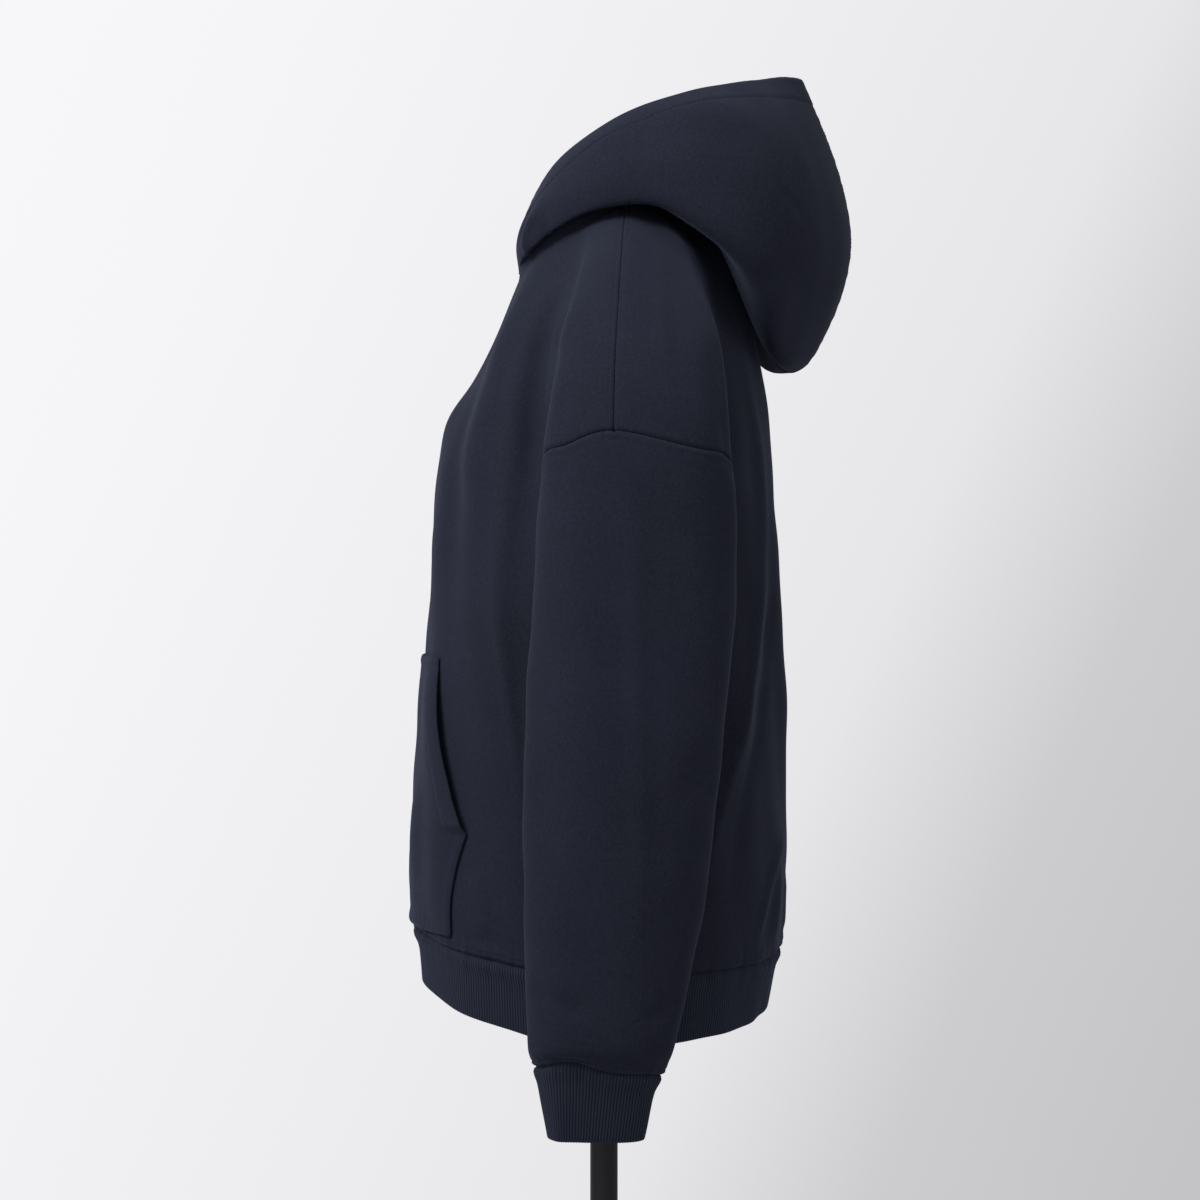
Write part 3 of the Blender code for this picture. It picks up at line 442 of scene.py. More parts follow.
def hood_rows(top_surface):
    """Rows from the neckline to the rim. top_surface gives the shoulders' height at a place in plan."""
    angles = np.interp(np.linspace(0, 1, len(HOOD)), [0, 0.5, 1], [-90, SEAM_ANGLE, 90])
    stations = []
    for angle, station in zip(angles, HOOD):
        neck = neck_point(angle) + np.array([0.0, 0.0, HOOD_SEAM])
        fold, low, middle, high, rim = (np.array(p) / MM for p in station[1:])
        rolled = min(1.0, max(0.0, (math.dist(neck, fold) - ROLL_START) / ROLL_RUN))
        stand = neck + (fold - neck) * (STAND_SHARE[0] - STAND_SHARE[1] * rolled)
        stand = stand + np.array([0.0, 0.0, STAND * rolled])
        under = neck + (fold - neck) * (UNDER_SHARE[0] - UNDER_SHARE[1] * rolled)
        under[2] += ((stand[2] + fold[2]) / 2 - under[2]) * rolled
        hanging = min(1.0, max(0.0, (neck[2] - fold[2] - HANG_START) / HANG_RUN))
        under[2] += (neck[2] - under[2]) * HANG_SHARE * hanging
        floor = top_surface(under)
        if floor is not None and rolled:
            under[2] = max(under[2], floor + HOOD_CLEAR)
        stations.append([neck, stand, under, fold, low, middle, high, rim])
    return [[station[row] for station in stations] for row in range(len(stations[0]))]


def quads_of(grid):
    """The four corners of each cell of a grid of numbers, or of many grids."""
    return np.stack([grid[..., :-1, :-1], grid[..., 1:, :-1], grid[..., 1:, 1:], grid[..., :-1, 1:]], -1)


def lengths_along(line):
    """How far along a line each of its points lies."""
    return np.concatenate([[0], np.cumsum(np.linalg.norm(np.diff(line, axis=0), axis=1))])


def placed(where, lengths, line):
    """The places at given lengths along a line, from its own points' lengths."""
    return np.stack([np.interp(where, lengths, line[:, k]) for k in range(3)], -1)


def evaluated_arrays(obj):
    """(an object's points, its corners' point numbers, its corners' UVs), with its modifiers"""
    graph = bpy.context.evaluated_depsgraph_get()
    graph.update()
    mesh = obj.evaluated_get(graph).to_mesh()
    points = np.empty(len(mesh.vertices) * 3, np.float32)
    mesh.vertices.foreach_get("co", points)
    corners = np.empty(len(mesh.loops), np.int32)
    mesh.loops.foreach_get("vertex_index", corners)
    cells = np.empty(len(mesh.loops) * 2, np.float32)
    mesh.uv_layers[0].data.foreach_get("uv", cells)
    obj.evaluated_get(graph).to_mesh_clear()
    return points.reshape(-1, 3).astype(float), corners, cells.reshape(-1, 2)


class Skin:
    """The cage's Subdivision Surface, as a square grid of points on each of its faces."""

    def __init__(self, cage, passes=8):
        target = np.array(cage.points)
        mesh = bpy.data.meshes.new("cage")
        mesh.from_pydata([tuple(p) for p in target], [], cage.faces)
        cell = [(0, 0), (0, 1), (1, 1), (1, 0)]
        corners = [c for turned in cage.turned for c in (cell[::-1] if turned else cell)]
        mesh.uv_layers.new(name="cell").data.foreach_set("uv", np.array(corners, np.float32).ravel())
        obj = bpy.data.objects.new("cage", mesh)
        bpy.context.scene.collection.objects.link(obj)
        smooth = obj.modifiers.new("Subdivision", "SUBSURF")
        smooth.uv_smooth = "NONE"
        smooth.levels = smooth.render_levels = 1
        place = target.copy()
        for _ in range(passes):  # so that the surface passes through the cage's points
            mesh.vertices.foreach_set("co", place.astype(np.float32).ravel())
            mesh.update()
            place += target - evaluated_arrays(obj)[0][: len(target)]
        smooth.levels = smooth.render_levels = LEVELS
        self.points, corner, cells = evaluated_arrays(obj)
        bpy.data.objects.remove(obj)
        self.trees = {}
        self.names, self.panel = cage.names, np.array(cage.panels)
        self.turned, self.column = np.array(cage.turned), np.array(cage.columns)
        self.size = 2**LEVELS
        face = np.arange(len(corner)) // (4 * self.size**2)
        i, j = np.rint(cells * self.size).astype(int).T
        self.grid = np.full((len(cage.faces), self.size + 1, self.size + 1), -1)
        self.grid[face, j, i] = corner
        if (self.grid < 0).any():
            raise RuntimeError("the subdivided cage isn't in face order")

    def faces_of(self, name):
        """The numbers of a panel's cage faces."""
        return np.nonzero(self.panel == self.names.index(name))[0]

    def members(self, name):
        """True for each point that the panel uses."""
        mine = np.zeros(len(self.points), bool)
        mine[self.grid[self.faces_of(name)]] = True
        return mine

    def normals(self):
        """The outward normal at each point."""
        p = self.points
        corners = np.moveaxis(quads_of(self.grid), -1, 0)
        a, b, c, d = corners
        normal = np.cross(p[c] - p[a], p[d] - p[b])
        normal /= np.maximum(np.linalg.norm(normal, axis=3), 1e-12)[..., None]
        normal[self.turned] *= -1
        total = np.zeros_like(p)
        for axis in range(3):
            for corner in corners:
                total[:, axis] += np.bincount(corner.ravel(), normal[..., axis].ravel(), len(p))
        return total / np.maximum(np.linalg.norm(total, axis=1), 1e-12)[:, None]

    def borders(self):
        """{(lower, higher panel number, or the panel twice at a free edge): [runs of points]}"""
        sides = {}
        for f, g in enumerate(self.grid):
            for run in (g[0], g[-1], g[:, 0], g[:, -1]):
                sides.setdefault(tuple(sorted((run[0], run[-1]))), []).append((self.panel[f], run))
        found = {}
        for users in sides.values():
            panels = sorted(p for p, _ in users)
            if len(users) == 1:
                found.setdefault((panels[0], panels[0]), []).append(users[0][1])
            elif panels[0] != panels[1]:
                found.setdefault(tuple(panels), []).append(users[0][1])
        return found

    def tree(self, name, stride=2):
        """A search tree over the panels whose names start with name, as the points stand when it is first asked."""
        if (name, stride) in self.trees:
            return self.trees[name, stride]
        chosen = [k for k, n in enumerate(self.names) if n.startswith(name)]
        g = self.grid[np.isin(self.panel, chosen)][:, ::stride, ::stride]
        turned = self.turned[np.isin(self.panel, chosen)]
        quads = quads_of(g)
        quads[turned] = quads[turned][..., ::-1]
        used, quads = np.unique(quads.reshape(-1, 4), return_inverse=True)
        made = BVHTree.FromPolygons(self.points[used].tolist(), quads.reshape(-1, 4).tolist())
        self.trees[name, stride] = made
        return made

    def move(self, points):
        """Gives the points new places, which also makes the search trees out of date."""
        self.points = points
        self.trees = {}


def chained(runs):
    """Runs of points joined end to end into as few lines as they make."""
    left, lines = [list(run) for run in runs], []
    while left:
        line, grew = left.pop(0), True
        while grew:
            grew = False
            for k, run in enumerate(left):
                pairs = ((line, run), (line, run[::-1]), (run, line), (run[::-1], line))
                joined = next((a + b[1:] for a, b in pairs if a[-1] == b[0]), None)
                if joined:
                    line, grew = joined, True
                    left.pop(k)
                    break
        lines.append(np.array(line))
    return lines


def near(points, line, reach, chunk=24):
    """(numbers of the points within reach of a line, their distance, how far along the line they lie)"""
    best, along = np.full(len(points), float(reach)), np.zeros(len(points))
    steps = lengths_along(line)
    for start in range(0, len(line) - 1, chunk):
        part = line[start : start + chunk + 1]
        inside = np.nonzero(((points > part.min(0) - reach) & (points < part.max(0) + reach)).all(1))[0]
        if not len(inside):
            continue
        span = np.diff(part, axis=0)
        length = np.maximum((span**2).sum(1), 1e-14)
        offset = points[inside][:, None] - part[:-1]
        t = np.clip((offset * span).sum(2) / length, 0, 1)
        distance = np.linalg.norm(offset - t[..., None] * span, axis=2)
        k = distance.argmin(1)
        row = np.arange(len(inside))
        closer = distance[row, k] < best[inside]
        best[inside[closer]] = distance[row, k][closer]
        along[inside[closer]] = (steps[start + k] + t[row, k] * np.sqrt(length[k]))[closer]
    found = np.nonzero(best < reach)[0]
    return found, best[found], along[found]


def smooth_curve(points, spacing):
    """A curve through points (Catmull-Rom), at about that spacing."""
    p = np.array(points, float)
    p = np.vstack([2 * p[0] - p[1], p, 2 * p[-1] - p[-2]])
    made = []
    for a, b, c, d in zip(p, p[1:], p[2:], p[3:]):
        count = max(2, int(np.linalg.norm(c - b) / spacing))
        t = np.linspace(0, 1, count, endpoint=False)[:, None]
        made.append(
            0.5 * (2 * b + (c - a) * t + (2 * a - 5 * b + 4 * c - d) * t**2 + (3 * b - a - 3 * c + d) * t**3)
        )
    return np.vstack(made + [p[-2:-1]])


def bump(distance, width):
    """A rounded ridge: 1 at its line and nothing about two widths from it."""
    return np.exp(-((distance / width) ** 2))


def ease(value):
    """A soft step from 0 to 1."""
    value = np.clip(value, 0.0, 1.0)
    return value * value * (3 - 2 * value)


def wander(along, seed, lengths=(0.055, 0.023, 0.011), weights=(0.5, 0.3, 0.2)):
    """A slow uneven wave along a line, between about -1 and 1."""
    rng = np.random.default_rng(seed)
    phases = rng.uniform(0, 2 * math.pi, len(lengths))
    stretch = rng.uniform(0.85, 1.15, len(lengths))
    return sum(
        w * np.sin(2 * math.pi * along / (length * s) + phase)
        for length, w, s, phase in zip(lengths, weights, stretch, phases)
    )


# ---------------------------------------------------------------- folds
FOLD_SPACING = 0.002  # of a fold's points on the cloth
FOLD_REACH, FOLD_TAPER = 2.6, 0.3  # how many widths a fold goes out; the share of its length that it rises over
FEEL_FROM = {0: 0.6, 1: 0.6, 2: 2.0}  # how far out along each axis the cloth is felt for from
VIEWS = {  # where a fold's points are seen from: (axes of its two numbers, axis looked along, side looked from)
    "left": ((1, 2), 0, 1),
    "right": ((1, 2), 0, -1),
    "front": ((0, 2), 1, -1),
    "back": ((0, 2), 1, 1),
    "top": ((0, 1), 2, 1),
}
# A fold, in millimetres: the panels that it shows on, the side its points are given from, its width, how far it
# stands out or sinks in, and its points.
Fold = namedtuple("Fold", "name panels view width height points")
FRONT, BACK, SLEEVES, HOODS = ("front",), ("back",), ("sleeve",), ("hood",)
FRONT_ARM, BACK_ARM, YOKE_ALL = FRONT + SLEEVES, BACK + SLEEVES, FRONT + BACK + SLEEVES
BODY_FOLDS = [
    # the wearer's left
    Fold("front drape", FRONT_ARM, "left", 14, 5.5, [(-34, 1325), (-56, 1292), (-67, 1248), (-76, 1203), (-80, 1142),
         (-87, 1076), (-87, 1044), (-85, 1000), (-80, 946), (-76, 900)]),
    Fold("front valley", FRONT_ARM, "left", 11, -5, [(-33, 1311), (-47, 1279), (-56, 1237), (-60, 1170), (-62, 1120)]),
    Fold("front crease", FRONT, "left", 6, 2, [(-89, 1090), (-88, 1040), (-84, 985), (-77, 925), (-72, 880),
         (-69, 850)]),
    Fold("shoulder edge", FRONT_ARM, "left", 12, 1.8, [(-18, 1307), (-32, 1263), (-43, 1219), (-50, 1180)]),
    Fold("cap crease", YOKE_ALL, "left", 8, 1.4, [(49, 1360), (48, 1325), (49, 1260), (52, 1201)]),
    Fold("back valley", BACK_ARM, "left", 13, -5, [(88, 1262), (91, 1240), (96, 1205), (102, 1165), (105, 1125)]),
    Fold("back drape", BACK, "left", 12, 3.4, [(107, 1301), (120, 1262), (128, 1205), (134, 1158), (137, 1121),
         (135, 1045), (122, 950), (105, 881), (83, 794), (79, 735)]),
    Fold("back crease", BACK, "left", 5.5, 2.2, [(136, 1060), (128, 990), (117, 925), (105, 880), (92, 830),
         (82, 780)]),
    Fold("back furrow", BACK, "left", 10, -3, [(148, 1080), (142, 1000), (134, 930), (122, 870), (112, 810),
         (104, 755)]),
    Fold("hem pleat", BACK, "left", 7, 2.6, [(161, 834), (149, 805), (136, 755), (130, 728)]),
    Fold("hem pleat", BACK, "left", 10, 2.2, [(155, 810), (152, 766), (148, 728)]),
    Fold("sleeve crease", SLEEVES, "left", 9, 2.1, [(23, 1165), (24, 1119), (26, 1039), (27, 958), (29, 877),
         (30, 795), (29, 729)]),
    Fold("elbow bend", SLEEVES, "left", 14, -2.2, [(-61, 907), (-54, 870), (-44, 842), (-30, 825)]),
    Fold("elbow bend", SLEEVES, "left", 13, -2.6, [(97, 935), (84, 903), (66, 880), (46, 868)]),
    Fold("forearm bend", SLEEVES, "left", 11, -1.8, [(80, 812), (68, 792), (50, 779)]),
    Fold("wrist bend", SLEEVES, "left", 9, -2.2, [(-62, 728), (-47, 712), (-26, 704), (-6, 703)]),
    Fold("wrist bend", SLEEVES, "left", 8, -1.8, [(58, 716), (46, 700), (30, 693)]),
    # the wearer's right
    Fold("front drape", FRONT_ARM, "right", 15, 4.2, [(-36, 1318), (-54, 1285), (-68, 1240), (-78, 1190), (-86, 1120),
         (-92, 1060), (-90, 990), (-83, 930)]),
    Fold("front valley", FRONT_ARM, "right", 12, -4.6, [(-30, 1306), (-44, 1275), (-55, 1230), (-61, 1175),
         (-64, 1105)]),
    Fold("shoulder edge", FRONT_ARM, "right", 11, 2.6, [(-14, 1298), (-30, 1255), (-42, 1206)]),
    Fold("cap crease", YOKE_ALL, "right", 9, 1.2, [(40, 1352), (42, 1310), (46, 1252), (47, 1215)]),
    Fold("back valley", BACK_ARM, "right", 12, -4.4, [(87, 1255), (93, 1215), (100, 1172), (104, 1120)]),
    Fold("back drape", BACK, "right", 18, 4.6, [(110, 1290), (122, 1245), (130, 1190), (135, 1120), (131, 1030),
         (124, 950), (118, 870)]),
    Fold("back furrow", BACK, "right", 13, -3.6, [(112, 1040), (106, 960), (100, 890), (94, 815), (90, 755)]),
    Fold("hem pleat", BACK, "right", 11, 2.4, [(132, 818), (125, 775), (118, 736)]),
    Fold("sleeve crease", SLEEVES, "right", 8, 1.2, [(20, 1158), (22, 1090), (25, 1010), (24, 930), (26, 840),
         (27, 760)]),
    Fold("elbow bend", SLEEVES, "right", 15, -2.4, [(-63, 925), (-52, 893), (-38, 868), (-20, 852)]),
    Fold("elbow bend", SLEEVES, "right", 12, -2.2, [(99, 965), (88, 930), (70, 906)]),
    Fold("forearm bend", SLEEVES, "right", 12, -2, [(82, 835), (66, 809), (45, 795)]),
    Fold("wrist bend", SLEEVES, "right", 9, -2, [(-60, 735), (-44, 722), (-22, 715)]),
    # front
    Fold("chest drag", FRONT, "front", 18, 2.6, [(60, 1270), (77, 1200), (87, 1120), (90, 1050)]),
    Fold("chest drag", FRONT, "front", 17, 2.4, [(-55, 1280), (-74, 1210), (-88, 1130), (-97, 1070), (-100, 1010)]),
    Fold("chest hollow", FRONT, "front", 20, -2.4, [(28, 1200), (36, 1140), (34, 1080), (30, 1030)]),
    Fold("neck drag", FRONT, "front", 11, 1.6, [(-30, 1300), (-37, 1262), (-36, 1225)]),
    Fold("blouse", FRONT, "front", 12, 2.8, [(152, 812), (157, 775), (155, 742)]),
    Fold("blouse", FRONT, "front", 13, 2.4, [(-158, 824), (-160, 780), (-156, 744)]),
    Fold("pocket sag", FRONT, "front", 20, 2.2, [(60, 880), (66, 830), (63, 780)]),
    Fold("pocket sag", FRONT, "front", 22, 2.6, [(-44, 868), (-50, 815), (-46, 770)]),
    # back
    Fold("upper back", BACK, "top", 36, 12.5, [(-85, 78), (-45, 100), (0, 107), (45, 100), (85, 78)]),
    Fold("back fall", BACK, "back", 20, 3.6, [(52, 1215), (61, 1110), (66, 1000), (63, 900), (56, 815)]),
    Fold("back fall", BACK, "back", 18, 3, [(-70, 1225), (-80, 1120), (-83, 1020), (-75, 925)]),
    Fold("back hollow", BACK, "back", 17, -3.2, [(8, 1160), (13, 1050), (4, 950), (-5, 862)]),
    Fold("back hollow", BACK, "back", 14, -2.6, [(-114, 1125), (-119, 1030), (-111, 930), (-99, 840)]),
    Fold("hem pleat", BACK, "back", 10, 2.2, [(34, 795), (31, 760), (33, 730)]),
    Fold("hem pleat", BACK, "back", 9, 1.8, [(-36, 776), (-39, 750), (-37, 728)]),
    Fold("hem pleat", BACK, "back", 11, 2.4, [(-93, 802), (-89, 765), (-91, 734)]),
]  # fmt: skip
HOOD_FOLDS = [
    Fold("side hollow", HOODS, "left", 24, -3.4, [(0, 1424), (50, 1438), (100, 1434), (140, 1408)]),
    Fold("back crease", HOODS, "left", 5, -1.2, [(147, 1395), (156, 1385), (163, 1378), (170, 1370), (177, 1362)]),
    Fold("pouch fold", HOODS, "left", 11, -2, [(128, 1306), (150, 1318), (172, 1336)]),
    Fold("collar fold", HOODS, "left", 5, 2.6, [(-57, 1384), (-63, 1374), (-69, 1360), (-70, 1349), (-67, 1342)]),
    Fold("collar groove", HOODS, "left", 3.5, -1.6, [(-60, 1392), (-67, 1379), (-73.5, 1362), (-75.2, 1350)]),
    Fold("collar dent", HOODS, "left", 9, -2.2, [(-48, 1392), (-52, 1377), (-52, 1364), (-48, 1356)]),
    Fold("side hollow", HOODS, "right", 26, -3, [(10, 1418), (55, 1430), (105, 1428), (150, 1396)]),
    Fold("back crease", HOODS, "right", 6, -1.4, [(140, 1420), (150, 1405), (160, 1392), (168, 1374)]),
    Fold("pouch fold", HOODS, "right", 12, -2.2, [(120, 1300), (146, 1310), (170, 1326)]),
    Fold("collar fold", HOODS, "right", 6, 1.2, [(-62, 1376), (-69, 1360), (-70, 1345)]),
]  # fmt: skip

# Slow waves of slack cloth: length along X, Y and Z, and height. Over the shoulders only TAUT_SHARE of it is left.
Wave = namedtuple("Wave", "name x y z height")
SLACK = [
    Wave("long", 0.160, 0.150, 0.600, 0.0010),
    Wave("middling", 0.095, 0.110, 0.420, 0.0008),
    Wave("short", -0.062, 0.070, 0.300, 0.0005),
    Wave("level", 0.300, 0.260, 0.120, 0.0005),
    Wave("level short", -0.200, 0.150, 0.066, 0.0003),
]
BODY_SEED, HOOD_SEED, BAND_SEED = 3, 11, 20
TAUT_Z, TAUT_RUN = 1.30, 0.15
TAUT_SHARE, SLACK_SHARE = 0.4, 0.6


def slack_height(points, seed):
    """How far slack cloth stands out at each point. It is tauter over the shoulders."""
    rng = np.random.default_rng(seed)
    height = np.zeros(len(points))
    for wave in SLACK:
        turn = points[:, 0] / wave.x + points[:, 1] / wave.y + points[:, 2] / wave.z
        height += wave.height * np.sin(2 * math.pi * turn + rng.uniform(0, 2 * math.pi))
    return height * (TAUT_SHARE + SLACK_SHARE * ease((TAUT_Z - points[:, 2]) / TAUT_RUN))


def on_surface(tree, view, points):
    """A fold's points on the cloth, from the side it is seen from."""
    axes, depth, side = VIEWS[view]
    direction = Vector([0, 0, 0])
    direction[depth] = -side
    places = []
    for a, b in smooth_curve(points, FOLD_SPACING):
        start = Vector([0, 0, 0])
        start[axes[0]], start[axes[1]] = a, b
        start[depth] = side * FEEL_FROM[depth]
        hit = tree.ray_cast(start, direction)[0]
        if hit is not None:
            places.append(hit)
    return np.array(places)


def add_folds(skin, folds, height):
    """Adds each fold to the height of the cloth, tapered to nothing at its ends."""
    for fold in folds:
        tree = skin.tree(fold.panels)
        width = fold.width / MM
        line = on_surface(tree, fold.view, np.array(fold.points) / MM)
        if len(line) < 2:
            continue
        chosen = np.zeros(len(skin.points), bool)
        for name in skin.names:
            if name.startswith(fold.panels):
                chosen |= skin.members(name)
        numbers = np.nonzero(chosen)[0]
        found, distance, along = near(skin.points[numbers], line, FOLD_REACH * width)
        total = np.linalg.norm(np.diff(line, axis=0), axis=1).sum()
        taper = ease(along / (FOLD_TAPER * total)) * ease((total - along) / (FOLD_TAPER * total))
        end = np.where((along < 1e-6) | (along > total - 1e-6), 0.0, 1.0)
        height[numbers[found]] += fold.height / MM * bump(distance, width) * taper * end


# ---------------------------------------------------------------- seam relief
def seam_relief(distance, along, rows, seam, seed):
    """Height of the cloth beside a seam: the seam's own dip, the allowance under its rows, each row's dip, the swell
    of gathered cloth, and the puckers that run in from the seam."""
    pull = 1 + 0.35 * wander(along, seed)
    height = -seam.dip * bump(distance, SEAM_WIDTH)
    height += seam.swell * (1 + 0.3 * wander(along, seed + 3, (0.090, 0.047))) * bump(distance - SWELL_AT, SWELL_WIDTH)
    if rows:
        lifted = ease((rows[-1] + RELIEF_PAST - distance) / RELIEF_RUN)
        height += RELIEF * lifted * (1 - bump(distance, RELIEF_PAST))
    for row in rows:
        height -= STITCH_DIP * pull * bump(distance - row, STITCH_WIDTH)
    reach = PUCKER_REACH * (1 + 0.5 * wander(along, seed + 1, (0.070, 0.031)))
    puckers = wander(along, seed + 2, (0.0130, 0.0083, 0.0210), (0.45, 0.25, 0.30))
    return height + seam.gather * puckers * np.exp(-distance / reach) * (1 - bump(distance, PUCKER_CLEAR))


def seam_between(seams, name, other, z):
    """The seam where panel name meets panel other, which reaches up to height z, and its rows on panel name."""
    for seam in seams:
        if seam.low < z < seam.high:
            if name.startswith(seam.first) and other.startswith(seam.second):
                return seam, seam.rows_first
            if name.startswith(seam.second) and other.startswith(seam.first):
                return seam, seam.rows_second
    return None, ()


def raise_cloth(skin, seams, folds, seed):
    """Raises the skin by its folds and seams. Returns which points lie near sewn detail, and the stitched lines as
    (panel, the line's points, its rows)."""
    normals = skin.normals()
    height = slack_height(skin.points, seed)
    add_folds(skin, folds, height)
    detail = np.zeros(len(skin.points), bool)
    lines = []
    for (p, q), runs in sorted(skin.borders().items()):
        for line in chained(runs):
            places = skin.points[line]
            for name, other in sorted({(skin.names[p], skin.names[q]), (skin.names[q], skin.names[p])}):
                seam, rows = seam_between(seams, name, other, places[:, 2].max())
                numbers = np.nonzero(skin.members(name))[0]
                found, distance, along = near(skin.points[numbers], places, max((DETAIL,) + rows) + PUCKER_REACH)
                chosen = numbers[found]
                detail[chosen[distance < DETAIL]] = True
                for row in rows:
                    detail[chosen[np.abs(distance - row) < DETAIL / 2]] = True
                if seam:
                    height[chosen] += seam_relief(distance, along, rows, seam, seed + p + 7 * q)
                    lines.append((name, line, rows))
    skin.move(skin.points + normals * height[:, None])
    return detail, lines


# ---------------------------------------------------------------- walls
def polygons(skin, name, stride, fine, wanted):
    """The panel's faces as grid nodes. Blocks of stride cells are one face each, or single cells where fine holds,
    and a block's face also takes the wanted points on its sides."""
    faces = skin.faces_of(name)
    side = skin.size + 1
    grid = skin.grid[faces]
    n = skin.size
    base = faces[:, None, None] * side * side
    split = np.zeros((len(faces), n // stride, n // stride), bool)
    if fine is not None:
        marked = fine[grid]
        for dj in range(stride + 1):
            for di in range(stride + 1):
                split |= marked[:, dj : dj + n - stride + 1 : stride, di : di + n - stride + 1 : stride]
    jj, ii = np.meshgrid(np.arange(0, n, stride), np.arange(0, n, stride), indexing="ij")
    corner = base + jj * side + ii
    small = []
    for dj in range(stride):
        for di in range(stride):
            at = corner[split] + dj * side + di
            small.append(np.stack([at, at + side, at + side + 1, at + 1], -1))
    small = np.concatenate(small) if small else np.zeros((0, 4), int)
    vertex = skin.grid.ravel()
    used = np.zeros(len(skin.points), bool)
    used[vertex[small.ravel()]] = True
    if wanted is not None:
        used |= wanted
    at = corner[~split]
    ring = [at + k * side for k in range(stride)]
    ring += [at + stride * side + k for k in range(stride)]
    ring += [at + stride * side + stride - k * side for k in range(stride)]
    ring += [at + stride - k for k in range(stride)]
    ring = np.stack(ring, -1) if len(at) else np.zeros((0, 4 * stride), int)
    kept = used[vertex[ring]]
    kept[:, ::stride] = True
    plain = kept.sum(1) == 4
    made = small.tolist() + ring[plain][:, ::stride].tolist()
    made += [r[k].tolist() for r, k in zip(ring[~plain], kept[~plain])]
    return [f[::-1] if skin.turned[f[0] // (side * side)] else f for f in made]


def rim_edges(faces, vertex):
    """The faces' open edges, as pairs of nodes in the faces' own direction."""
    edges = {}
    for face in faces:
        for a, b in zip(face, face[1:] + face[:1]):
            edges[(vertex[a], vertex[b])] = (a, b)
    return [nodes for (a, b), nodes in edges.items() if (b, a) not in edges]


def flat_pattern(skin, name, cut_column=None, stride=8):
    """The panel laid flat, as a UV in metres for each grid node of its faces, with its length upright."""
    faces = skin.faces_of(name)
    grid = skin.grid[faces][:, ::stride, ::stride]
    key = grid * 2
    if cut_column is not None:
        line = np.unique(grid[skin.column[faces] == cut_column][:, :, 0])
        after = skin.column[faces] >= cut_column
        key = key + (np.isin(grid, line) & after[:, None, None])
    unique, number = np.unique(key, return_inverse=True)
    number = number.reshape(key.shape)
    quads = quads_of(number)
    quads[skin.turned[faces]] = quads[skin.turned[faces]][..., ::-1]
    quads = quads.reshape(-1, 4)
    mesh = bpy.data.meshes.new("pattern")
    places = skin.points[unique // 2]
    mesh.from_pydata([tuple(p) for p in places], [], quads.tolist())
    mesh.uv_layers.new(name="flat")
    obj = bpy.data.objects.new("pattern", mesh)
    bpy.context.scene.collection.objects.link(obj)
    alone(obj)
    edit_all()
    bpy.ops.uv.unwrap(method="CONFORMAL", fill_holes=False, margin=0.0)
    bpy.ops.object.mode_set(mode="OBJECT")
    _, corner, uv = evaluated_arrays(obj)
    flat = np.zeros((len(unique), 2))
    flat[corner] = uv
    bpy.data.objects.remove(obj)
    spread = np.cross(places[quads[:, 2]] - places[quads[:, 0]], places[quads[:, 3]] - places[quads[:, 1]])
    area = np.linalg.norm(spread, axis=1).sum() / 2
    d1, d2 = flat[quads[:, 2]] - flat[quads[:, 0]], flat[quads[:, 3]] - flat[quads[:, 1]]
    signed = (d1[:, 0] * d2[:, 1] - d1[:, 1] * d2[:, 0]).sum() / 2
    flat *= math.sqrt(area / abs(signed))
    slope = np.linalg.lstsq(np.c_[flat, np.ones(len(flat))], places[:, 2], rcond=None)[0][:2]
    slope /= np.linalg.norm(slope)
    flat = np.stack([flat @ np.array([slope[1], -slope[0]]), flat @ slope], -1)
    flat -= flat.min(0)
    coarse = flat[number]
    n = skin.size
    at = np.arange(n + 1) / stride
    weight = np.maximum(0, 1 - np.abs(at[:, None] - np.arange(n // stride + 1)[None]))
    fine = np.einsum("ya,fabc,xb->fyxc", weight, coarse, weight)
    uvs = np.zeros(skin.grid.shape + (2,))
    uvs[faces] = fine
    return uvs.reshape(-1, 2), tuple(flat.max(0)), float(area)


def alone(obj):
    """obj is the only selected object, and the active one."""
    bpy.ops.object.select_all(action="DESELECT")
    obj.select_set(True)
    bpy.context.view_layer.objects.active = obj


def edit_all():
    """Goes into edit mode with all of the active object selected."""
    bpy.ops.object.mode_set(mode="EDIT")
    bpy.ops.mesh.select_all(action="SELECT")


def add_bevel(obj, width, segments, degrees):
    """A Bevel modifier on the edges that are sharper than an angle."""
    bevel = obj.modifiers.new("Edges", "BEVEL")
    bevel.limit_method = "ANGLE"
    bevel.angle_limit = math.radians(degrees)
    bevel.width, bevel.segments = width, segments


def new_mesh(name, points, faces, uvs, finish):
    """An object from points, faces and one UV for each corner of each face."""
    mesh = bpy.data.meshes.new(name)
    mesh.from_pydata(np.asarray(points).tolist(), [], faces)
    if uvs is not None:
        mesh.uv_layers.new(name="flat").data.foreach_set("uv", np.asarray(uvs, np.float32).ravel())
    mesh.materials.append(finish)
    obj = bpy.data.objects.new(name, mesh)
    bpy.context.scene.collection.objects.link(obj)
    mesh.shade_smooth()
    return obj


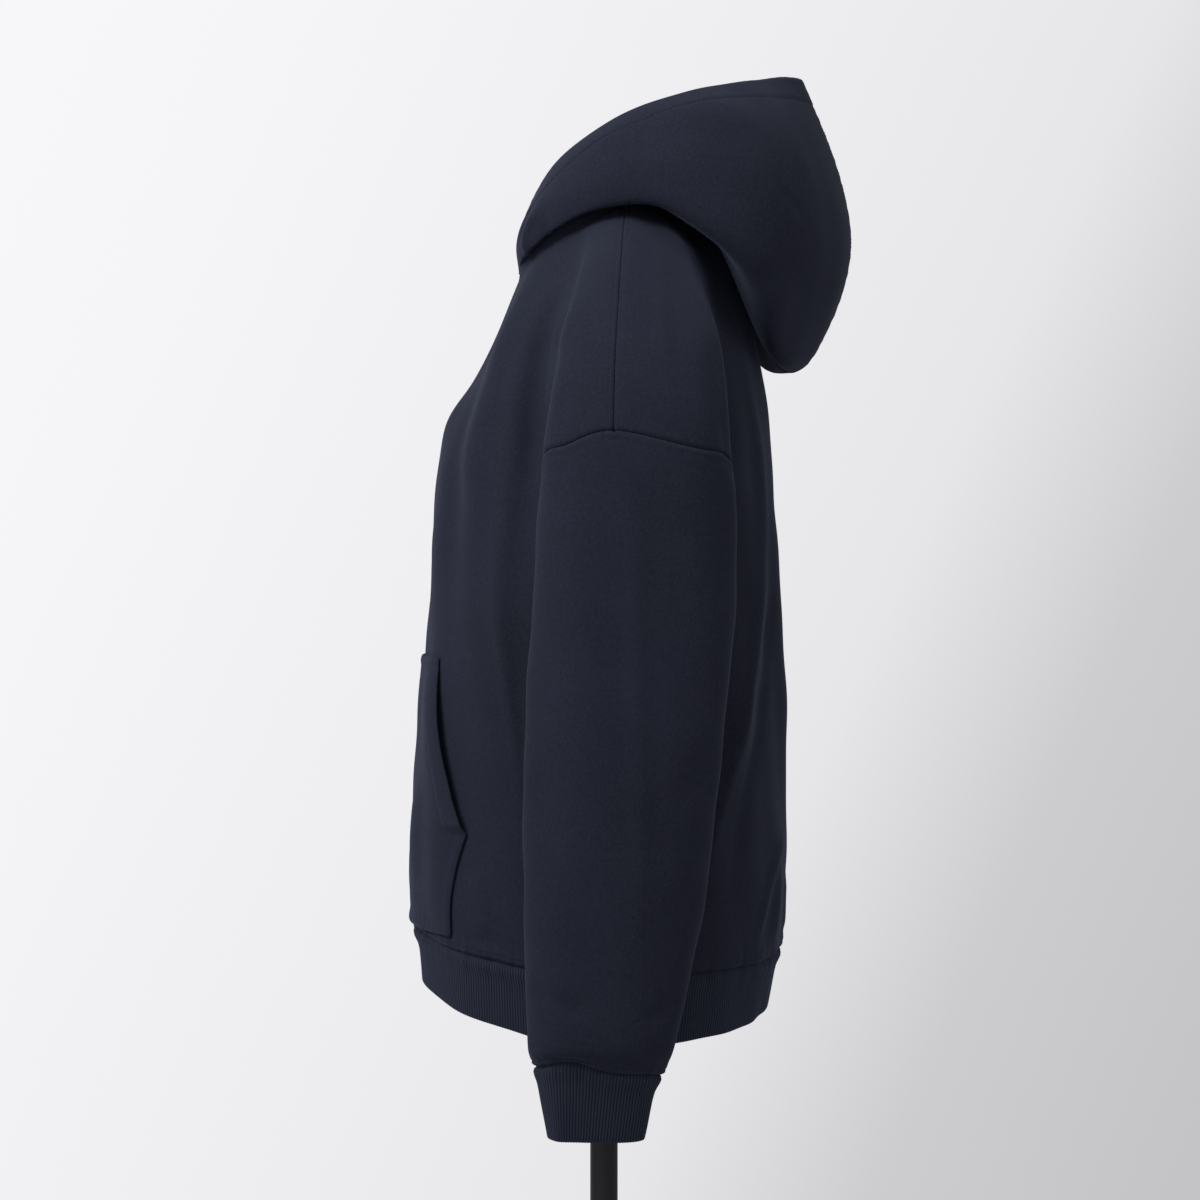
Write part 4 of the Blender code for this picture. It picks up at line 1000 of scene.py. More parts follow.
def walled(skin, panel, name, finish, detail, thickness, round_edges, cut_column=None, inner_stride=4):
    """One panel as a closed wall. thickness is one number for each point; round_edges says which points' open
    edges are rounded over."""
    normals = skin.normals()
    vertex = skin.grid.ravel()
    uvs, flat, area = flat_pattern(skin, panel, cut_column)
    outer = polygons(skin, panel, 2, detail, None)
    rim = rim_edges(outer, vertex)
    on_rim = np.zeros(len(skin.points), bool)
    out = np.zeros_like(skin.points)
    for a, b in rim:
        va, vb = vertex[a], vertex[b]
        on_rim[[va, vb]] = True
        direction = skin.points[vb] - skin.points[va]
        direction /= max(np.linalg.norm(direction), 1e-9)
        side = np.cross(direction, normals[va] + normals[vb])
        side /= max(np.linalg.norm(side), 1e-9)
        out[va] += side
        out[vb] += side
    out /= np.maximum(np.linalg.norm(out, axis=1), 1e-9)[:, None]
    top = skin.points + out * SEAM_LAP * (on_rim & ~round_edges)[:, None]
    inner = polygons(skin, panel, inner_stride, None, on_rim)
    used = np.unique(vertex[np.array([n for face in outer for n in face])])
    low_used = np.unique(vertex[np.array([n for face in inner for n in face])])
    number = np.full(len(skin.points), -1)
    number[used] = np.arange(len(used))
    low_number = np.full(len(skin.points), -1)
    low_number[low_used] = len(used) + np.arange(len(low_used))
    points = [top[used], (top - normals * thickness[:, None])[low_used]]
    faces = [[number[vertex[n]] for n in face] for face in outer]
    corner_nodes = [n for face in outer for n in face]
    faces += [[low_number[vertex[n]] for n in reversed(face)] for face in inner]
    corner_nodes += [n for face in inner for n in reversed(face)]
    arcs = {}
    extra, total = [], len(used) + len(low_used)
    for a, b in rim:
        for node in (a, b):
            v = vertex[node]
            if v in arcs:
                continue
            arc = [number[v]]
            if round_edges[v]:
                half = thickness[v] / 2
                middle = top[v] - normals[v] * half
                for k in range(1, EDGE_STEPS):
                    turn = math.pi * k / EDGE_STEPS
                    extra.append(middle + half * (math.cos(turn) * normals[v] + math.sin(turn) * out[v]))
                    arc.append(total)
                    total += 1
            arcs[v] = arc + [low_number[v]]
    for a, b in rim:
        one, two = arcs[vertex[a]], arcs[vertex[b]]
        if len(one) != len(two):
            one, two = [one[0], one[-1]], [two[0], two[-1]]
        for k in range(len(one) - 1):
            faces.append([two[k], one[k], one[k + 1], two[k + 1]])
            corner_nodes += [b, a, a, b]
    if extra:
        points.append(np.array(extra))
    faces = [[int(i) for i in face] for face in faces]
    obj = new_mesh(name, np.vstack(points), faces, uvs[np.array(corner_nodes)], finish)
    return obj, flat, area


def grid_wall(name, outer, inner, finish, closed):
    """A closed wall from two grids of points, rows by columns. The rim between them is rounded over, and the columns
    join up if closed."""
    rows, columns = outer.shape[:2]
    span = columns if closed else columns - 1
    points = [outer.reshape(-1, 3), inner.reshape(-1, 3)]
    count = rows * columns
    width = np.linalg.norm(np.diff(outer, axis=1), axis=2).mean(0)
    u = np.concatenate([[0], np.cumsum(width)])
    u_end = np.append(u, u[-1] + width[-1])
    v = np.concatenate([[0], np.cumsum(np.linalg.norm(np.diff(outer, axis=0), axis=2).mean(1))])
    flat = np.stack(np.meshgrid(u_end[: span + 1], -v), -1)
    faces, uvs = [], []
    for r in range(rows - 1):
        for c in range(span):
            d = (c + 1) % columns
            quad = [r * columns + c, (r + 1) * columns + c, (r + 1) * columns + d, r * columns + d]
            corners = [flat[r, c], flat[r + 1, c], flat[r + 1, c + 1], flat[r, c + 1]]
            faces += [quad, [i + count for i in reversed(quad)]]
            uvs += corners + corners[::-1]
    rim = [[(rows - 1, c) for c in range(span + 1)], [(0, c) for c in reversed(range(span + 1))]]
    if not closed:
        rim = [
            [(r, 0) for r in range(rows)]
            + [(rows - 1, c) for c in range(1, columns)]
            + [(r, columns - 1) for r in reversed(range(rows - 1))]
            + [(0, c) for c in reversed(range(1, columns - 1))]
            + [(0, 0)]
        ]
    total = 2 * count
    for loop in rim:
        arcs, made = [], {}
        for k, (r, c) in enumerate(loop):
            at = (r, c % columns)
            if at not in made:
                before, after = loop[k - 1] if k else loop[-2], loop[k + 1] if k + 1 < len(loop) else loop[1]
                along = outer[after[0], after[1] % columns] - outer[before[0], before[1] % columns]
                top, low = outer[at], inner[at]
                half = (top - low) / 2
                away = np.cross(along, half)
                away *= np.linalg.norm(half) / max(np.linalg.norm(away), 1e-12)
                arc = [at[0] * columns + at[1]]
                turns = np.linspace(0, math.pi, EDGE_STEPS + 1)[1:-1]
                points.append(np.array([(top + low) / 2 + math.cos(t) * half + math.sin(t) * away for t in turns]))
                arc += list(range(total, total + EDGE_STEPS - 1)) + [at[0] * columns + at[1] + count]
                total += EDGE_STEPS - 1
                made[at] = arc
            arcs.append(made[at])
        for (one, two), (a, b) in zip(zip(arcs, arcs[1:]), zip(loop, loop[1:])):
            for k in range(EDGE_STEPS):
                faces.append([one[k], one[k + 1], two[k + 1], two[k]])
                uvs += [flat[a], flat[a], flat[b], flat[b]]
    obj = new_mesh(name, np.vstack(points), faces, uvs, finish)
    return obj, (float(u_end[span]), float(v[-1]))


# ---------------------------------------------------------------- the two skins
NECK_BELOW = 0.03  # the body's neckline reaches no further than this below its front
NECK_SAMPLES = 0.1  # of the way between two of its points
NECK_REACH, RIM_REACH = 0.1, 0.05  # how far from the hood's two edges the distance to them is kept
RIM_LOWEST = 1.42  # an open edge of the hood that goes higher than this is its rim
LIFT_REACH, LIFT_UNDER = 0.05, -0.2  # how far off the shoulders are felt for; faces that look down are left out


def distance_to(skin, lines, reach):
    """Each point's distance from the nearest of some lines of the skin's points, or reach if that is less."""
    distances = np.full(len(skin.points), reach)
    for line in lines:
        found, distance, _ = near(skin.points, skin.points[line], reach)
        distances[found] = np.minimum(distances[found], distance)
    return distances


def waved_cuffs(skin):
    """Moves the cuff seams up and down round the wrists, and the cloth on both sides of them."""
    section, points = SLEEVE[CUFF_SEAM], skin.points.copy()
    across = (np.abs(points[:, 0]) - ARM_SIDE - section.thick) / section.thick
    angle = np.degrees(np.arctan2((points[:, 1] - section.middle) / section.depth, across))
    angle += CUFF_WAVE_TURN * (points[:, 0] < 0)
    wave = np.interp(angle, list(CUFF_WAVE), list(CUFF_WAVE.values()), period=360)
    for name in skin.names:
        if name.startswith(("sleeve", "cuff")):
            mine = skin.members(name)
            points[mine, 2] = skin.points[mine, 2] + (wave * bump(skin.points[:, 2] - section.z, CUFF_WAVE_REACH))[mine]
    skin.move(points)


def fitted_neckline(places, necks, neck_distance, body):
    """The hood's places with its lower edge moved onto the body's neckline, and the cloth near it with it."""
    edges = [body.points[line] for (p, q), runs in body.borders().items() if p == q for line in chained(runs)]
    edges = [edge for edge in edges if edge[:, 2].min() > NECK_FRONT_Z - NECK_BELOW]
    dense = np.vstack([placed(np.arange(0, len(e) - 1, NECK_SAMPLES), np.arange(len(e)), e) for e in edges])
    rim = np.concatenate(necks)
    shifts = np.array([dense[((dense - p) ** 2).sum(1).argmin()] - p for p in places[rim]])
    shifts[:, 2] -= NECK_OVERLAP
    tree = KDTree(len(rim))
    for k, i in enumerate(rim):
        tree.insert(places[i], k)
    tree.balance()
    moved = places.copy()
    for i in np.nonzero(neck_distance < NECK_EASE)[0]:
        moved[i] += shifts[tree.find(places[i])[1]] * (1 - ease(neck_distance[i] / NECK_EASE))
    return moved


@lru_cache(maxsize=None)
def body_skin():
    """(the raised skin of body and sleeves, its points near sewn detail, its stitched lines)"""
    cage = Cage()
    for side, suffix in ((1, "left"), (-1, "right")):
        add_body(cage, side, suffix)
    skin = Skin(cage)
    waved_cuffs(skin)
    detail, lines = raise_cloth(skin, BODY_SEAMS, BODY_FOLDS, BODY_SEED)
    return skin, detail, lines


@lru_cache(maxsize=None)
def hood_skin():
    """(the raised skin of the hood, its points near sewn detail, its stitched lines, each point's distance from the
    rim)"""
    body = body_skin()[0]
    tree = body.tree(("front", "back", "sleeve"))

    def shoulder_height(place):
        hit = tree.ray_cast(Vector((place[0], place[1], 2.0)), Vector((0, 0, -1)))[0]
        return None if hit is None else hit.z

    rows = hood_rows(shoulder_height)
    cage = Cage()
    for side, suffix in ((1, "left"), (-1, "right")):
        for upper, lower in zip(rows[1:][::-1], rows[:-1][::-1]):
            cage.strip(upper, lower, side, [f"hood_{suffix}"])
    skin = Skin(cage)
    detail, lines = raise_cloth(skin, HOOD_SEAMS, HOOD_FOLDS, HOOD_SEED)
    necks, rims = [], []
    for (p, q), runs in skin.borders().items():
        if p == q:
            for line in chained(runs):
                (rims if skin.points[line][:, 2].max() > RIM_LOWEST else necks).append(line)
    neck_distance = distance_to(skin, necks, NECK_REACH)
    rim_distance = distance_to(skin, rims, RIM_REACH)
    places = skin.points.copy()
    for i in np.nonzero(neck_distance > 1e-5)[0]:  # lifts the hood off the shoulders that it lies on
        place, normal = tree.find_nearest(Vector(places[i]), LIFT_REACH)[:2]
        if place is None or normal.z < LIFT_UNDER:
            continue
        height = float((Vector(places[i]) - place).dot(normal))
        wanted = min(HOOD_CLEAR, HOOD_LEAST + HOOD_OPENING * neck_distance[i])
        if height < wanted:
            places[i] += np.array(normal) * (wanted - height)
    skin.move(fitted_neckline(places, necks, neck_distance, body))
    return skin, detail, lines, rim_distance


# ---------------------------------------------------------------- ribbed bands
def band_ring(skin, panel):
    """The panel's points as rows by columns, once round."""
    n = skin.size
    faces = skin.faces_of(panel)
    left = [f for f in faces if not skin.turned[f]]
    right = [f for f in faces if skin.turned[f]]
    left.sort(key=lambda f: skin.column[f])
    right.sort(key=lambda f: -skin.column[f])
    parts = [skin.grid[f][:, :n] for f in left] + [skin.grid[f][:, n:0:-1] for f in right]
    return skin.points[np.concatenate(parts, axis=1)]


def closed_ring(ring):
    """(the ring with its first column again at its end, how far round it each column lies)"""
    closed = np.concatenate([ring, ring[:, :1]], axis=1)
    steps = np.linalg.norm(np.diff(closed, axis=1), axis=2).mean(0)
    return closed, np.concatenate([[0], np.cumsum(steps)])


def resampled(ring, columns):
    """(the ring with that many columns, evenly spaced round it; its length)"""
    closed, at = closed_ring(ring)
    where = np.linspace(0, at[-1], columns, endpoint=False)
    return np.array([placed(where, at, row) for row in closed]), at[-1]


def rib_allowance(skin, seam, above):
    """The outer and inner row of a band's seam allowance, inside the wall of the cloth that it is sewn to."""
    trees = [skin.tree(panel, 1) for panel in above]
    up = Vector((0, 0, ALLOWANCE_REACH))
    rows = []
    for place in seam:
        hits = [tree.find_nearest(Vector(place) + up) for tree in trees]
        spot, normal = min(hits, key=lambda hit: hit[3])[:2]
        rows.append([spot - normal * depth for depth in ALLOWANCE_DEPTHS])
    return np.array(rows).transpose(1, 0, 2)[:, None]


def rib_band(name, skin, panel, rows, seed):
    """A band of rib knit, folded at its free edge, with its ribs as real ridges."""
    ring = band_ring(skin, panel)
    columns = round(closed_ring(ring)[1][-1] / RIB_PITCH) * RIB_SAMPLES
    pick = np.linspace(0, len(ring) - 1, rows).round().astype(int)
    outer, length = resampled(ring[pick], columns)
    around = np.roll(outer, -1, axis=1) - np.roll(outer, 1, axis=1)
    down = np.gradient(outer, axis=0)
    normal = np.cross(down, around)
    normal /= np.linalg.norm(normal, axis=2)[..., None]
    along = np.arange(columns) / columns * length
    drop = np.linalg.norm(np.diff(outer, axis=0), axis=2).mean(1)
    depth = np.concatenate([[0], np.cumsum(drop)])[:, None]
    phase = np.arange(columns) % RIB_SAMPLES / RIB_SAMPLES
    ridge = np.abs(np.sin(math.pi * phase)) ** RIB_CREST
    rise = RIB_HEIGHT * ridge[None] * (RIB_AT_SEAM + RIB_GAIN * ease(depth / RIB_RUN))
    rise = rise - SEAM_DIP * bump(depth, SEAM_DIP_WIDTH)
    rise = rise + BAND_RUCK * wander(along, seed, BAND_RUCKS)[None] * np.exp(-depth / BAND_RUCK_REACH)
    rise = rise + BAND_WAVE * wander(along, seed + 1, BAND_WAVES)[None]
    top = outer + normal * rise[..., None]
    low = outer - normal * (BAND_THICKNESS - RIB_HEIGHT * ridge[None] * 0.5)[..., None]
    if np.dot(normal[0, 0], outer[0, 0] - outer[0].mean(0)) < 0:
        raise RuntimeError(f"{name}: the band is inside out")
    over, under = rib_allowance(skin, outer[0], SEWN_TO[panel])
    top, low = np.concatenate([over, top]), np.concatenate([under, low])
    obj, flat = grid_wall(name, top, low, rib_material(), True)
    # The ridge profile is stored for the rib material, which paints shade in the furrows and light on the crests from
    # it; the rounded rim points get the crests' painted light.
    painted_shade_ridge = obj.data.attributes.new("ridge", "FLOAT", "POINT")
    values = np.ones(len(obj.data.vertices), np.float32)
    values[: 2 * len(top) * columns] = np.tile(ridge, 2 * len(top))
    painted_shade_ridge.data.foreach_set("value", values)
    return obj, flat


# ---------------------------------------------------------------- the pocket
def pocket_sheet(skin):
    """The kangaroo pocket's outer and inner grids, and the lines of its stitch rows."""
    tree = skin.tree("front", 1)
    table = sorted(POCKET, key=lambda row: row.z)
    heights = [r.z for r in table]
    rows, columns = POCKET_ROWS, POCKET_COLUMNS
    outer = np.zeros((rows + 1, columns + 1, 3))
    inner = np.zeros_like(outer)
    lines = {key: [] for key in ("top", "open left", "open right", "side left", "side right")}
    for r, v in enumerate(np.linspace(0, 1, rows + 1)):
        z = POCKET[0].z + (POCKET[-1].z - POCKET[0].z) * v
        width = np.interp(z, heights, [p.width for p in table])
        opening = float(np.interp(z, heights, [p.open for p in table]))
        xs = np.linspace(-1, 1, POCKET_SAMPLES) * width
        hits = [tree.ray_cast(Vector((x, -1.0, z)), Vector((0, 1, 0)))[:2] for x in xs]
        places = np.array([h[0] for h in hits])
        normals = np.array([h[1] for h in hits])
        arc = lengths_along(places)
        where = np.linspace(0, arc[-1], columns + 1)
        base, normal = placed(where, arc, places), placed(where, arc, normals)
        normal /= np.linalg.norm(normal, axis=1)[:, None]
        edge = np.minimum(where, arc[-1] - where)  # from the nearer side edge
        from_top = POCKET[0].z - z
        from_foot = z - POCKET[-1].z
        down = ease(from_top / POCKET_EASE_TOP) * ease(from_foot / POCKET_EASE_FOOT)
        across = np.maximum(opening, ease(edge / POCKET_EASE_SIDE))
        mouth = POCKET_MOUTH * opening * bump(edge, POCKET_MOUTH_REACH)
        bag = (POCKET_ROOM * across + mouth) * down
        hem = ease((POCKET_HEM + POCKET_LAYER_PAST - edge) / POCKET_LAYER_RUN) * opening
        turned = ease((POCKET_TURN - edge) / POCKET_LAYER_RUN) * (1 - opening)
        turned = np.maximum(ease((POCKET_TURN - from_top) / POCKET_LAYER_RUN), turned)
        lift = POCKET_LAYER * np.maximum(hem, turned)
        dips = STITCH_DIP * (
            bump(edge - POCKET_HEM, STITCH_WIDTH) * opening
            + bump(edge - POCKET_ROW, STITCH_WIDTH) * (1 - opening)
            + bump(from_top - POCKET_ROW, STITCH_WIDTH)
        )
        rounding = POCKET_ROLL * (bump(edge, POCKET_ROLL_WIDTH) + bump(from_top, POCKET_ROLL_WIDTH))
        inner[r] = base + normal * (POCKET_STANDOFF + bag)[:, None]
        outer[r] = inner[r] + normal * (POCKET_CLOTH + lift - dips - rounding)[:, None]
        kind, margin = ("open", POCKET_HEM) if opening > 0.5 else ("side", POCKET_ROW)
        if from_top > POCKET_ROW:
            for name, at in (("right", margin), ("left", arc[-1] - margin)):
                lines[f"{kind} {name}"].append(placed(at, where, outer[r]))
        if not lines["top"] and from_top >= POCKET_ROW:
            lines["top"] = list(outer[r][edge > POCKET_ROW])
    for key in ("side left", "side right"):
        lines[key] = [place for place in lines[key] if place[2] < POCKET_CORNER]
    return outer, inner, [np.array(line) for line in lines.values() if len(line) > 2]


@lru_cache(maxsize=None)
def pocket_parts():
    """The pocket on the body's front."""
    return pocket_sheet(body_skin()[0])


# ---------------------------------------------------------------- topstitching
ROW_STEP, ROW_PROBES = 0.004, 40  # a row is moved in from its seam in such steps; points that tell which way is in
STITCH_AHEAD = 0.001  # how far before and behind a stitch its direction is taken


def stitch_shape():
    """One stitch: a low spindle along x, of unit length, width and height."""
    n = SPINDLE_SIDES
    rings = []
    for x, size in SPINDLE:
        for k in range(n):
            a = math.radians(360 // n * k)
            rings.append((x, 0.5 * size * math.cos(a), 0.5 * size * math.sin(a)))
    points = [(-0.5, 0, 0)] + rings + [(0.5, 0, 0)]
    last = len(points) - 1
    faces = []
    for k in range(n):
        m = (k + 1) % n
        faces.append((0, 1 + m, 1 + k))
        for r in range(1, last - n, n):
            faces.append((r + k, r + m, r + n + m, r + n + k))
        faces.append((last - n + k, last - n + m, last))
    return np.array(points), faces


def offset_line(tree, places, normals, offset):
    """The line moved sideways over the cloth by offset, in small steps, to the side where the panel lies."""
    steps = math.ceil(offset / ROW_STEP)
    sign = 0
    for _ in range(steps):
        tangent = np.gradient(places, axis=0)
        side = np.cross(normals, tangent)
        side /= np.maximum(np.linalg.norm(side, axis=1), 1e-12)[:, None]
        if not sign:
            gaps = []
            for way in (1, -1):
                moved = places + way * offset / steps * side
                gaps.append(sum(tree.find_nearest(Vector(p))[3] for p in moved[:: max(1, len(moved) // ROW_PROBES)]))
            sign = 1 if gaps[0] < gaps[1] else -1
        hits = [tree.find_nearest(Vector(p)) for p in places + sign * offset / steps * side]
        places = np.array([hit[0] for hit in hits])
        normals = np.array([hit[1] for hit in hits])
    return places


def stitches_along(tree, line):
    """Places, directions and normals of the stitches of one row."""
    step = lengths_along(line)
    count = int(step[-1] / STITCH_PITCH)
    if count < 2:
        return []
    where = (np.arange(count) + 0.5) * step[-1] / count
    made = []
    for a in where:
        here, ahead, behind = (Vector(placed(w, step, line)) for w in (a, a + STITCH_AHEAD, a - STITCH_AHEAD))
        place, normal, _, distance = tree.find_nearest(here)
        if distance < STITCH_STRAY:
            made.append((place, (ahead - behind).normalized(), normal))
    return made


def stitch_object(name, stitches):
    """All the stitches of one piece, in thread."""
    shape, faces = stitch_shape()
    size = np.array([STITCH_LENGTH, THREAD_WIDTH, THREAD_HEIGHT])
    points, all_faces = [], []
    for place, direction, normal in stitches:
        across = normal.cross(direction).normalized()
        direction = across.cross(normal)
        turn = np.array([direction, across, normal])
        start = len(points) * len(shape)
        points.append(shape * size @ turn + np.array(place) + np.array(normal) * THREAD_LIFT)
        all_faces += [[i + start for i in face] for face in faces]
    obj = new_mesh(name, np.vstack(points), all_faces, None, thread_material())
    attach(obj, "root")
    return obj


def row_stitches(skin, lines, wanted):
    """The stitches of every row of the seams whose panel starts with wanted."""
    normals = skin.normals()
    made = []
    for panel, line, rows in lines:
        if not panel.startswith(wanted):
            continue
        tree = skin.tree(panel, 1)
        for row in rows:
            moved = offset_line(tree, skin.points[line], normals[line], row)
            made += stitches_along(tree, moved)
    return made


# ================================================================ materials
BLOOM = "#aab4d8"  # of the nap's loose fibres against the light
STUDIO_TINT = "#fdfcff"


def linear(code):
    """An sRGB hex colour as linear RGBA."""
    values = [int(code[k : k + 2], 16) / 255 for k in (1, 3, 5)]
    return tuple(v / 12.92 if v <= 0.04045 else ((v + 0.055) / 1.055) ** 2.4 for v in values) + (1.0,)


def add(owner, kind, settings=None, **links):
    """Adds a node with its settings and links. A link's name is the input's, with _ for a space, or in_ and the
    input's number. stops are a colour ramp's: (position, colour or grey)."""
    node = owner.node_tree.nodes.new(kind)
    for name, value in (settings or {}).items():
        if name == "stops":
            elements = node.color_ramp.elements
            while len(elements) < len(value):
                elements.new(0.5)
            for element, (position, shade) in zip(elements, value):
                element.position = position
                element.color = (shade, shade, shade, 1.0) if isinstance(shade, float) else tuple(shade)
        elif isinstance(name, int) or name in node.inputs:
            node.inputs[name].default_value = value
        else:
            setattr(node, name, value)
    for name, source in links.items():
        key = name.replace("_", " ")
        target = node.inputs[int(key[3:])] if key.startswith("in ") else node.inputs[key]
        owner.node_tree.links.new(source, target)
    return node


def new_material(name):
    """(an empty material, the object coordinates for its patterns, the user's colours)"""
    made = bpy.data.materials.new(name)
    made.use_nodes = True
    made.node_tree.nodes.clear()
    return made, add(made, "ShaderNodeTexCoord").outputs["Object"], bpy.context.scene.hoodie_colours


def finish_material(made, settings, **links):
    """Gives the material its shader and output."""
    shader = add(made, "ShaderNodeBsdfPrincipled", settings, **links)
    add(made, "ShaderNodeOutputMaterial", Surface=shader.outputs["BSDF"])
    return made


def per_metre(width_mm):
    """The scale of a pattern with lumps of that width, as a whole number of them in a metre."""
    return round(MM / width_mm)


# Widths in millimetres. Fibres, plies and threads are finer than this, and are drawn as coarse as they need to show.
NAP_PATCH = 111
JERSEY_TUFT, RIB_TUFT = 2.38, 2.0
THREAD_PLY = 0.6667
POWDER_LUMP = 1.111
COVER_THREAD = 1.429


@lru_cache(maxsize=None)
def knit_material():
    """Brushed cotton double jersey, piece-dyed navy: matt, with a soft bloom at glancing angles and a fine grain."""
    made, place, palette = new_material("brushed_cotton_jersey_navy")
    patch = {"Scale": per_metre(NAP_PATCH), "Detail": 3.0, "Roughness": 0.55}
    patches = add(made, "ShaderNodeTexNoise", patch, Vector=place).outputs["Fac"]
    tuft = {"Scale": per_metre(JERSEY_TUFT), "Detail": 3.0, "Roughness": 0.7}
    fuzz = add(made, "ShaderNodeTexNoise", tuft, Vector=place).outputs["Fac"]
    mixed = add(made, "ShaderNodeMath", {"operation": "MULTIPLY_ADD", 1: 0.35}, in_0=patches, in_2=fuzz)
    stops = [(0.40, palette.knit_flat), (0.95, palette.knit_raised)]
    tone = add(made, "ShaderNodeValToRGB", {"stops": stops}, Fac=mixed.outputs[0])
    grain = add(made, "ShaderNodeBump", {"Strength": 0.35, "Distance": 0.0006}, Height=fuzz)
    bloom = {"Sheen Weight": 0.08, "Sheen Roughness": 0.45, "Sheen Tint": linear(BLOOM)}
    return finish_material(
        made,
        {"Roughness": 0.88, "Specular IOR Level": 0.04, **bloom},
        Base_Color=tone.outputs["Color"],
        Normal=grain.outputs["Normal"],
    )


@lru_cache(maxsize=None)
def rib_material():
    """Cotton rib knit in the same navy as the jersey, with painted shade in its furrows and painted light on its
    crests.
    """
    made, place, palette = new_material("cotton_rib_navy")
    tuft = {"Scale": per_metre(RIB_TUFT), "Detail": 2.0, "Roughness": 0.7}
    fuzz = add(made, "ShaderNodeTexNoise", tuft, Vector=place).outputs["Fac"]
    # The ridge attribute is 0 in a rib's furrow and 1 on its crest; with a little of the fuzz it sets the painted light
    # and shade below.
    ridge = add(made, "ShaderNodeAttribute", {"attribute_name": "ridge"}).outputs["Fac"]
    depth = add(made, "ShaderNodeMath", {"operation": "MULTIPLY_ADD", 1: 0.25}, in_0=fuzz, in_2=ridge)
    # Painted shade in the furrows, a middle tone on the sides, painted light on the crests.
    stops = [(0.15, palette.rib_furrow_shade), (0.70, palette.rib_side_shade), (1.00, palette.rib_crest_light)]
    tone = add(made, "ShaderNodeValToRGB", {"stops": stops}, Fac=depth.outputs[0])
    grain = add(made, "ShaderNodeBump", {"Strength": 0.3, "Distance": 0.0005}, Height=fuzz)
    bloom = {"Sheen Weight": 0.1, "Sheen Roughness": 0.45, "Sheen Tint": linear(BLOOM)}
    return finish_material(
        made,
        {"Roughness": 0.9, "Specular IOR Level": 0.12, **bloom},
        Base_Color=tone.outputs["Color"],
        Normal=grain.outputs["Normal"],
    )


@lru_cache(maxsize=None)
def thread_material():
    """Spun polyester thread, dyed to match: a touch lighter than the cloth, and without its bloom."""
    made, place, palette = new_material("polyester_thread_navy")
    twist = add(made, "ShaderNodeTexNoise", {"Scale": per_metre(THREAD_PLY)}, Vector=place).outputs["Fac"]
    grain = add(made, "ShaderNodeBump", {"Strength": 0.2, "Distance": 0.0001}, Height=twist)
    settings = {"Base Color": palette.thread, "Roughness": 0.75, "Specular IOR Level": 0.2}
    return finish_material(made, settings, Normal=grain.outputs["Normal"])


@lru_cache(maxsize=None)
def metal_material():
    """Steel tube and plate under satin black powder coat, which has the slight orange peel of such a coat."""
    made, place, palette = new_material("powder_coated_steel_black")
    noise = {"Scale": per_metre(POWDER_LUMP), "Detail": 2.0}
    peel = add(made, "ShaderNodeTexNoise", noise, Vector=place).outputs["Fac"]
    grain = add(made, "ShaderNodeBump", {"Strength": 0.12, "Distance": 0.0003}, Height=peel)
    settings = {"Base Color": palette.metal, "Roughness": 0.55, "Specular IOR Level": 0.25}
    return finish_material(made, settings, Normal=grain.outputs["Normal"])


@lru_cache(maxsize=None)
def form_material():
    """Natural linen stretched over the form: warm off-white, matt, with a fine weave."""
    made, place, palette = new_material("natural_linen_cover")
    noise = {"Scale": per_metre(COVER_THREAD), "Detail": 2.0}
    weave = add(made, "ShaderNodeTexNoise", noise, Vector=place).outputs["Fac"]
    stops = [(0.25, palette.cover_dark), (0.75, palette.cover_light)]
    tone = add(made, "ShaderNodeValToRGB", {"stops": stops}, Fac=weave).outputs["Color"]
    grain = add(made, "ShaderNodeBump", {"Strength": 0.3, "Distance": 0.0004}, Height=weave)
    settings = {"Roughness": 0.85, "Specular IOR Level": 0.3, "Sheen Weight": 0.15}
    return finish_material(made, settings, Base_Color=tone, Normal=grain.outputs["Normal"])


@lru_cache(maxsize=None)
def floor_material():
    """Matt white studio floor."""
    made, _, palette = new_material("matt_studio_floor")
    return finish_material(made, {"Base Color": palette.floor, "Roughness": 0.95})


# The studio's light along one slanted axis, from the front and above (0) to the back and below (1), as a share of
# WORLD_PEAK. Its middle stretch is the backdrop.
WORLD_AXIS = (0.0, 0.912, -0.410)
WORLD_PEAK = 2.0
WORLD_LIGHT = [
    (0.00, 0.16), (0.10, 0.24), (0.25, 0.50), (0.37, 0.475), (0.41, 0.465), (0.50, 0.430),
    (0.55, 0.405), (0.59, 0.310), (0.63, 0.285), (0.75, 0.22), (1.00, 0.20),
]  # fmt: skip


def studio_world(strength):
    """A white studio, lit from the front and above, that darkens to the back."""
    world = bpy.data.worlds.new("studio")
    world.use_nodes = True
    world.node_tree.nodes.clear()
    way = add(world, "ShaderNodeTexCoord").outputs["Generated"]
    slant = add(world, "ShaderNodeVectorMath", {"operation": "DOT_PRODUCT", 1: WORLD_AXIS}, in_0=way)
    share = add(world, "ShaderNodeMath", {"operation": "MULTIPLY_ADD", 1: 0.5, 2: 0.5}, in_0=slant.outputs["Value"])
    light = add(world, "ShaderNodeValToRGB", {"stops": WORLD_LIGHT}, Fac=share.outputs[0]).outputs["Color"]
    mix = {"data_type": "RGBA", "blend_type": "MULTIPLY", 0: 1.0, 7: linear(STUDIO_TINT)}
    tint = add(world, "ShaderNodeMix", mix, in_6=light)
    shine = add(world, "ShaderNodeBackground", {"Strength": strength * WORLD_PEAK}, Color=tint.outputs[2])
    add(world, "ShaderNodeOutputWorld", Surface=shine.outputs["Background"])
    return world


# ================================================================ operators
RIB_ROWS = {"hem_band": 14, "cuff_left": 16, "cuff_right": 16}
CASING_PAST, CASING_RUN = 0.001, 0.004  # how far past its width the casing stays thick, and how far it thins over


def cloth_piece(obj, panel):
    """Puts a sheet of cloth under the frame's root body, and hides the frame's part that it stands for."""
    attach(obj, "root")
    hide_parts(panel)


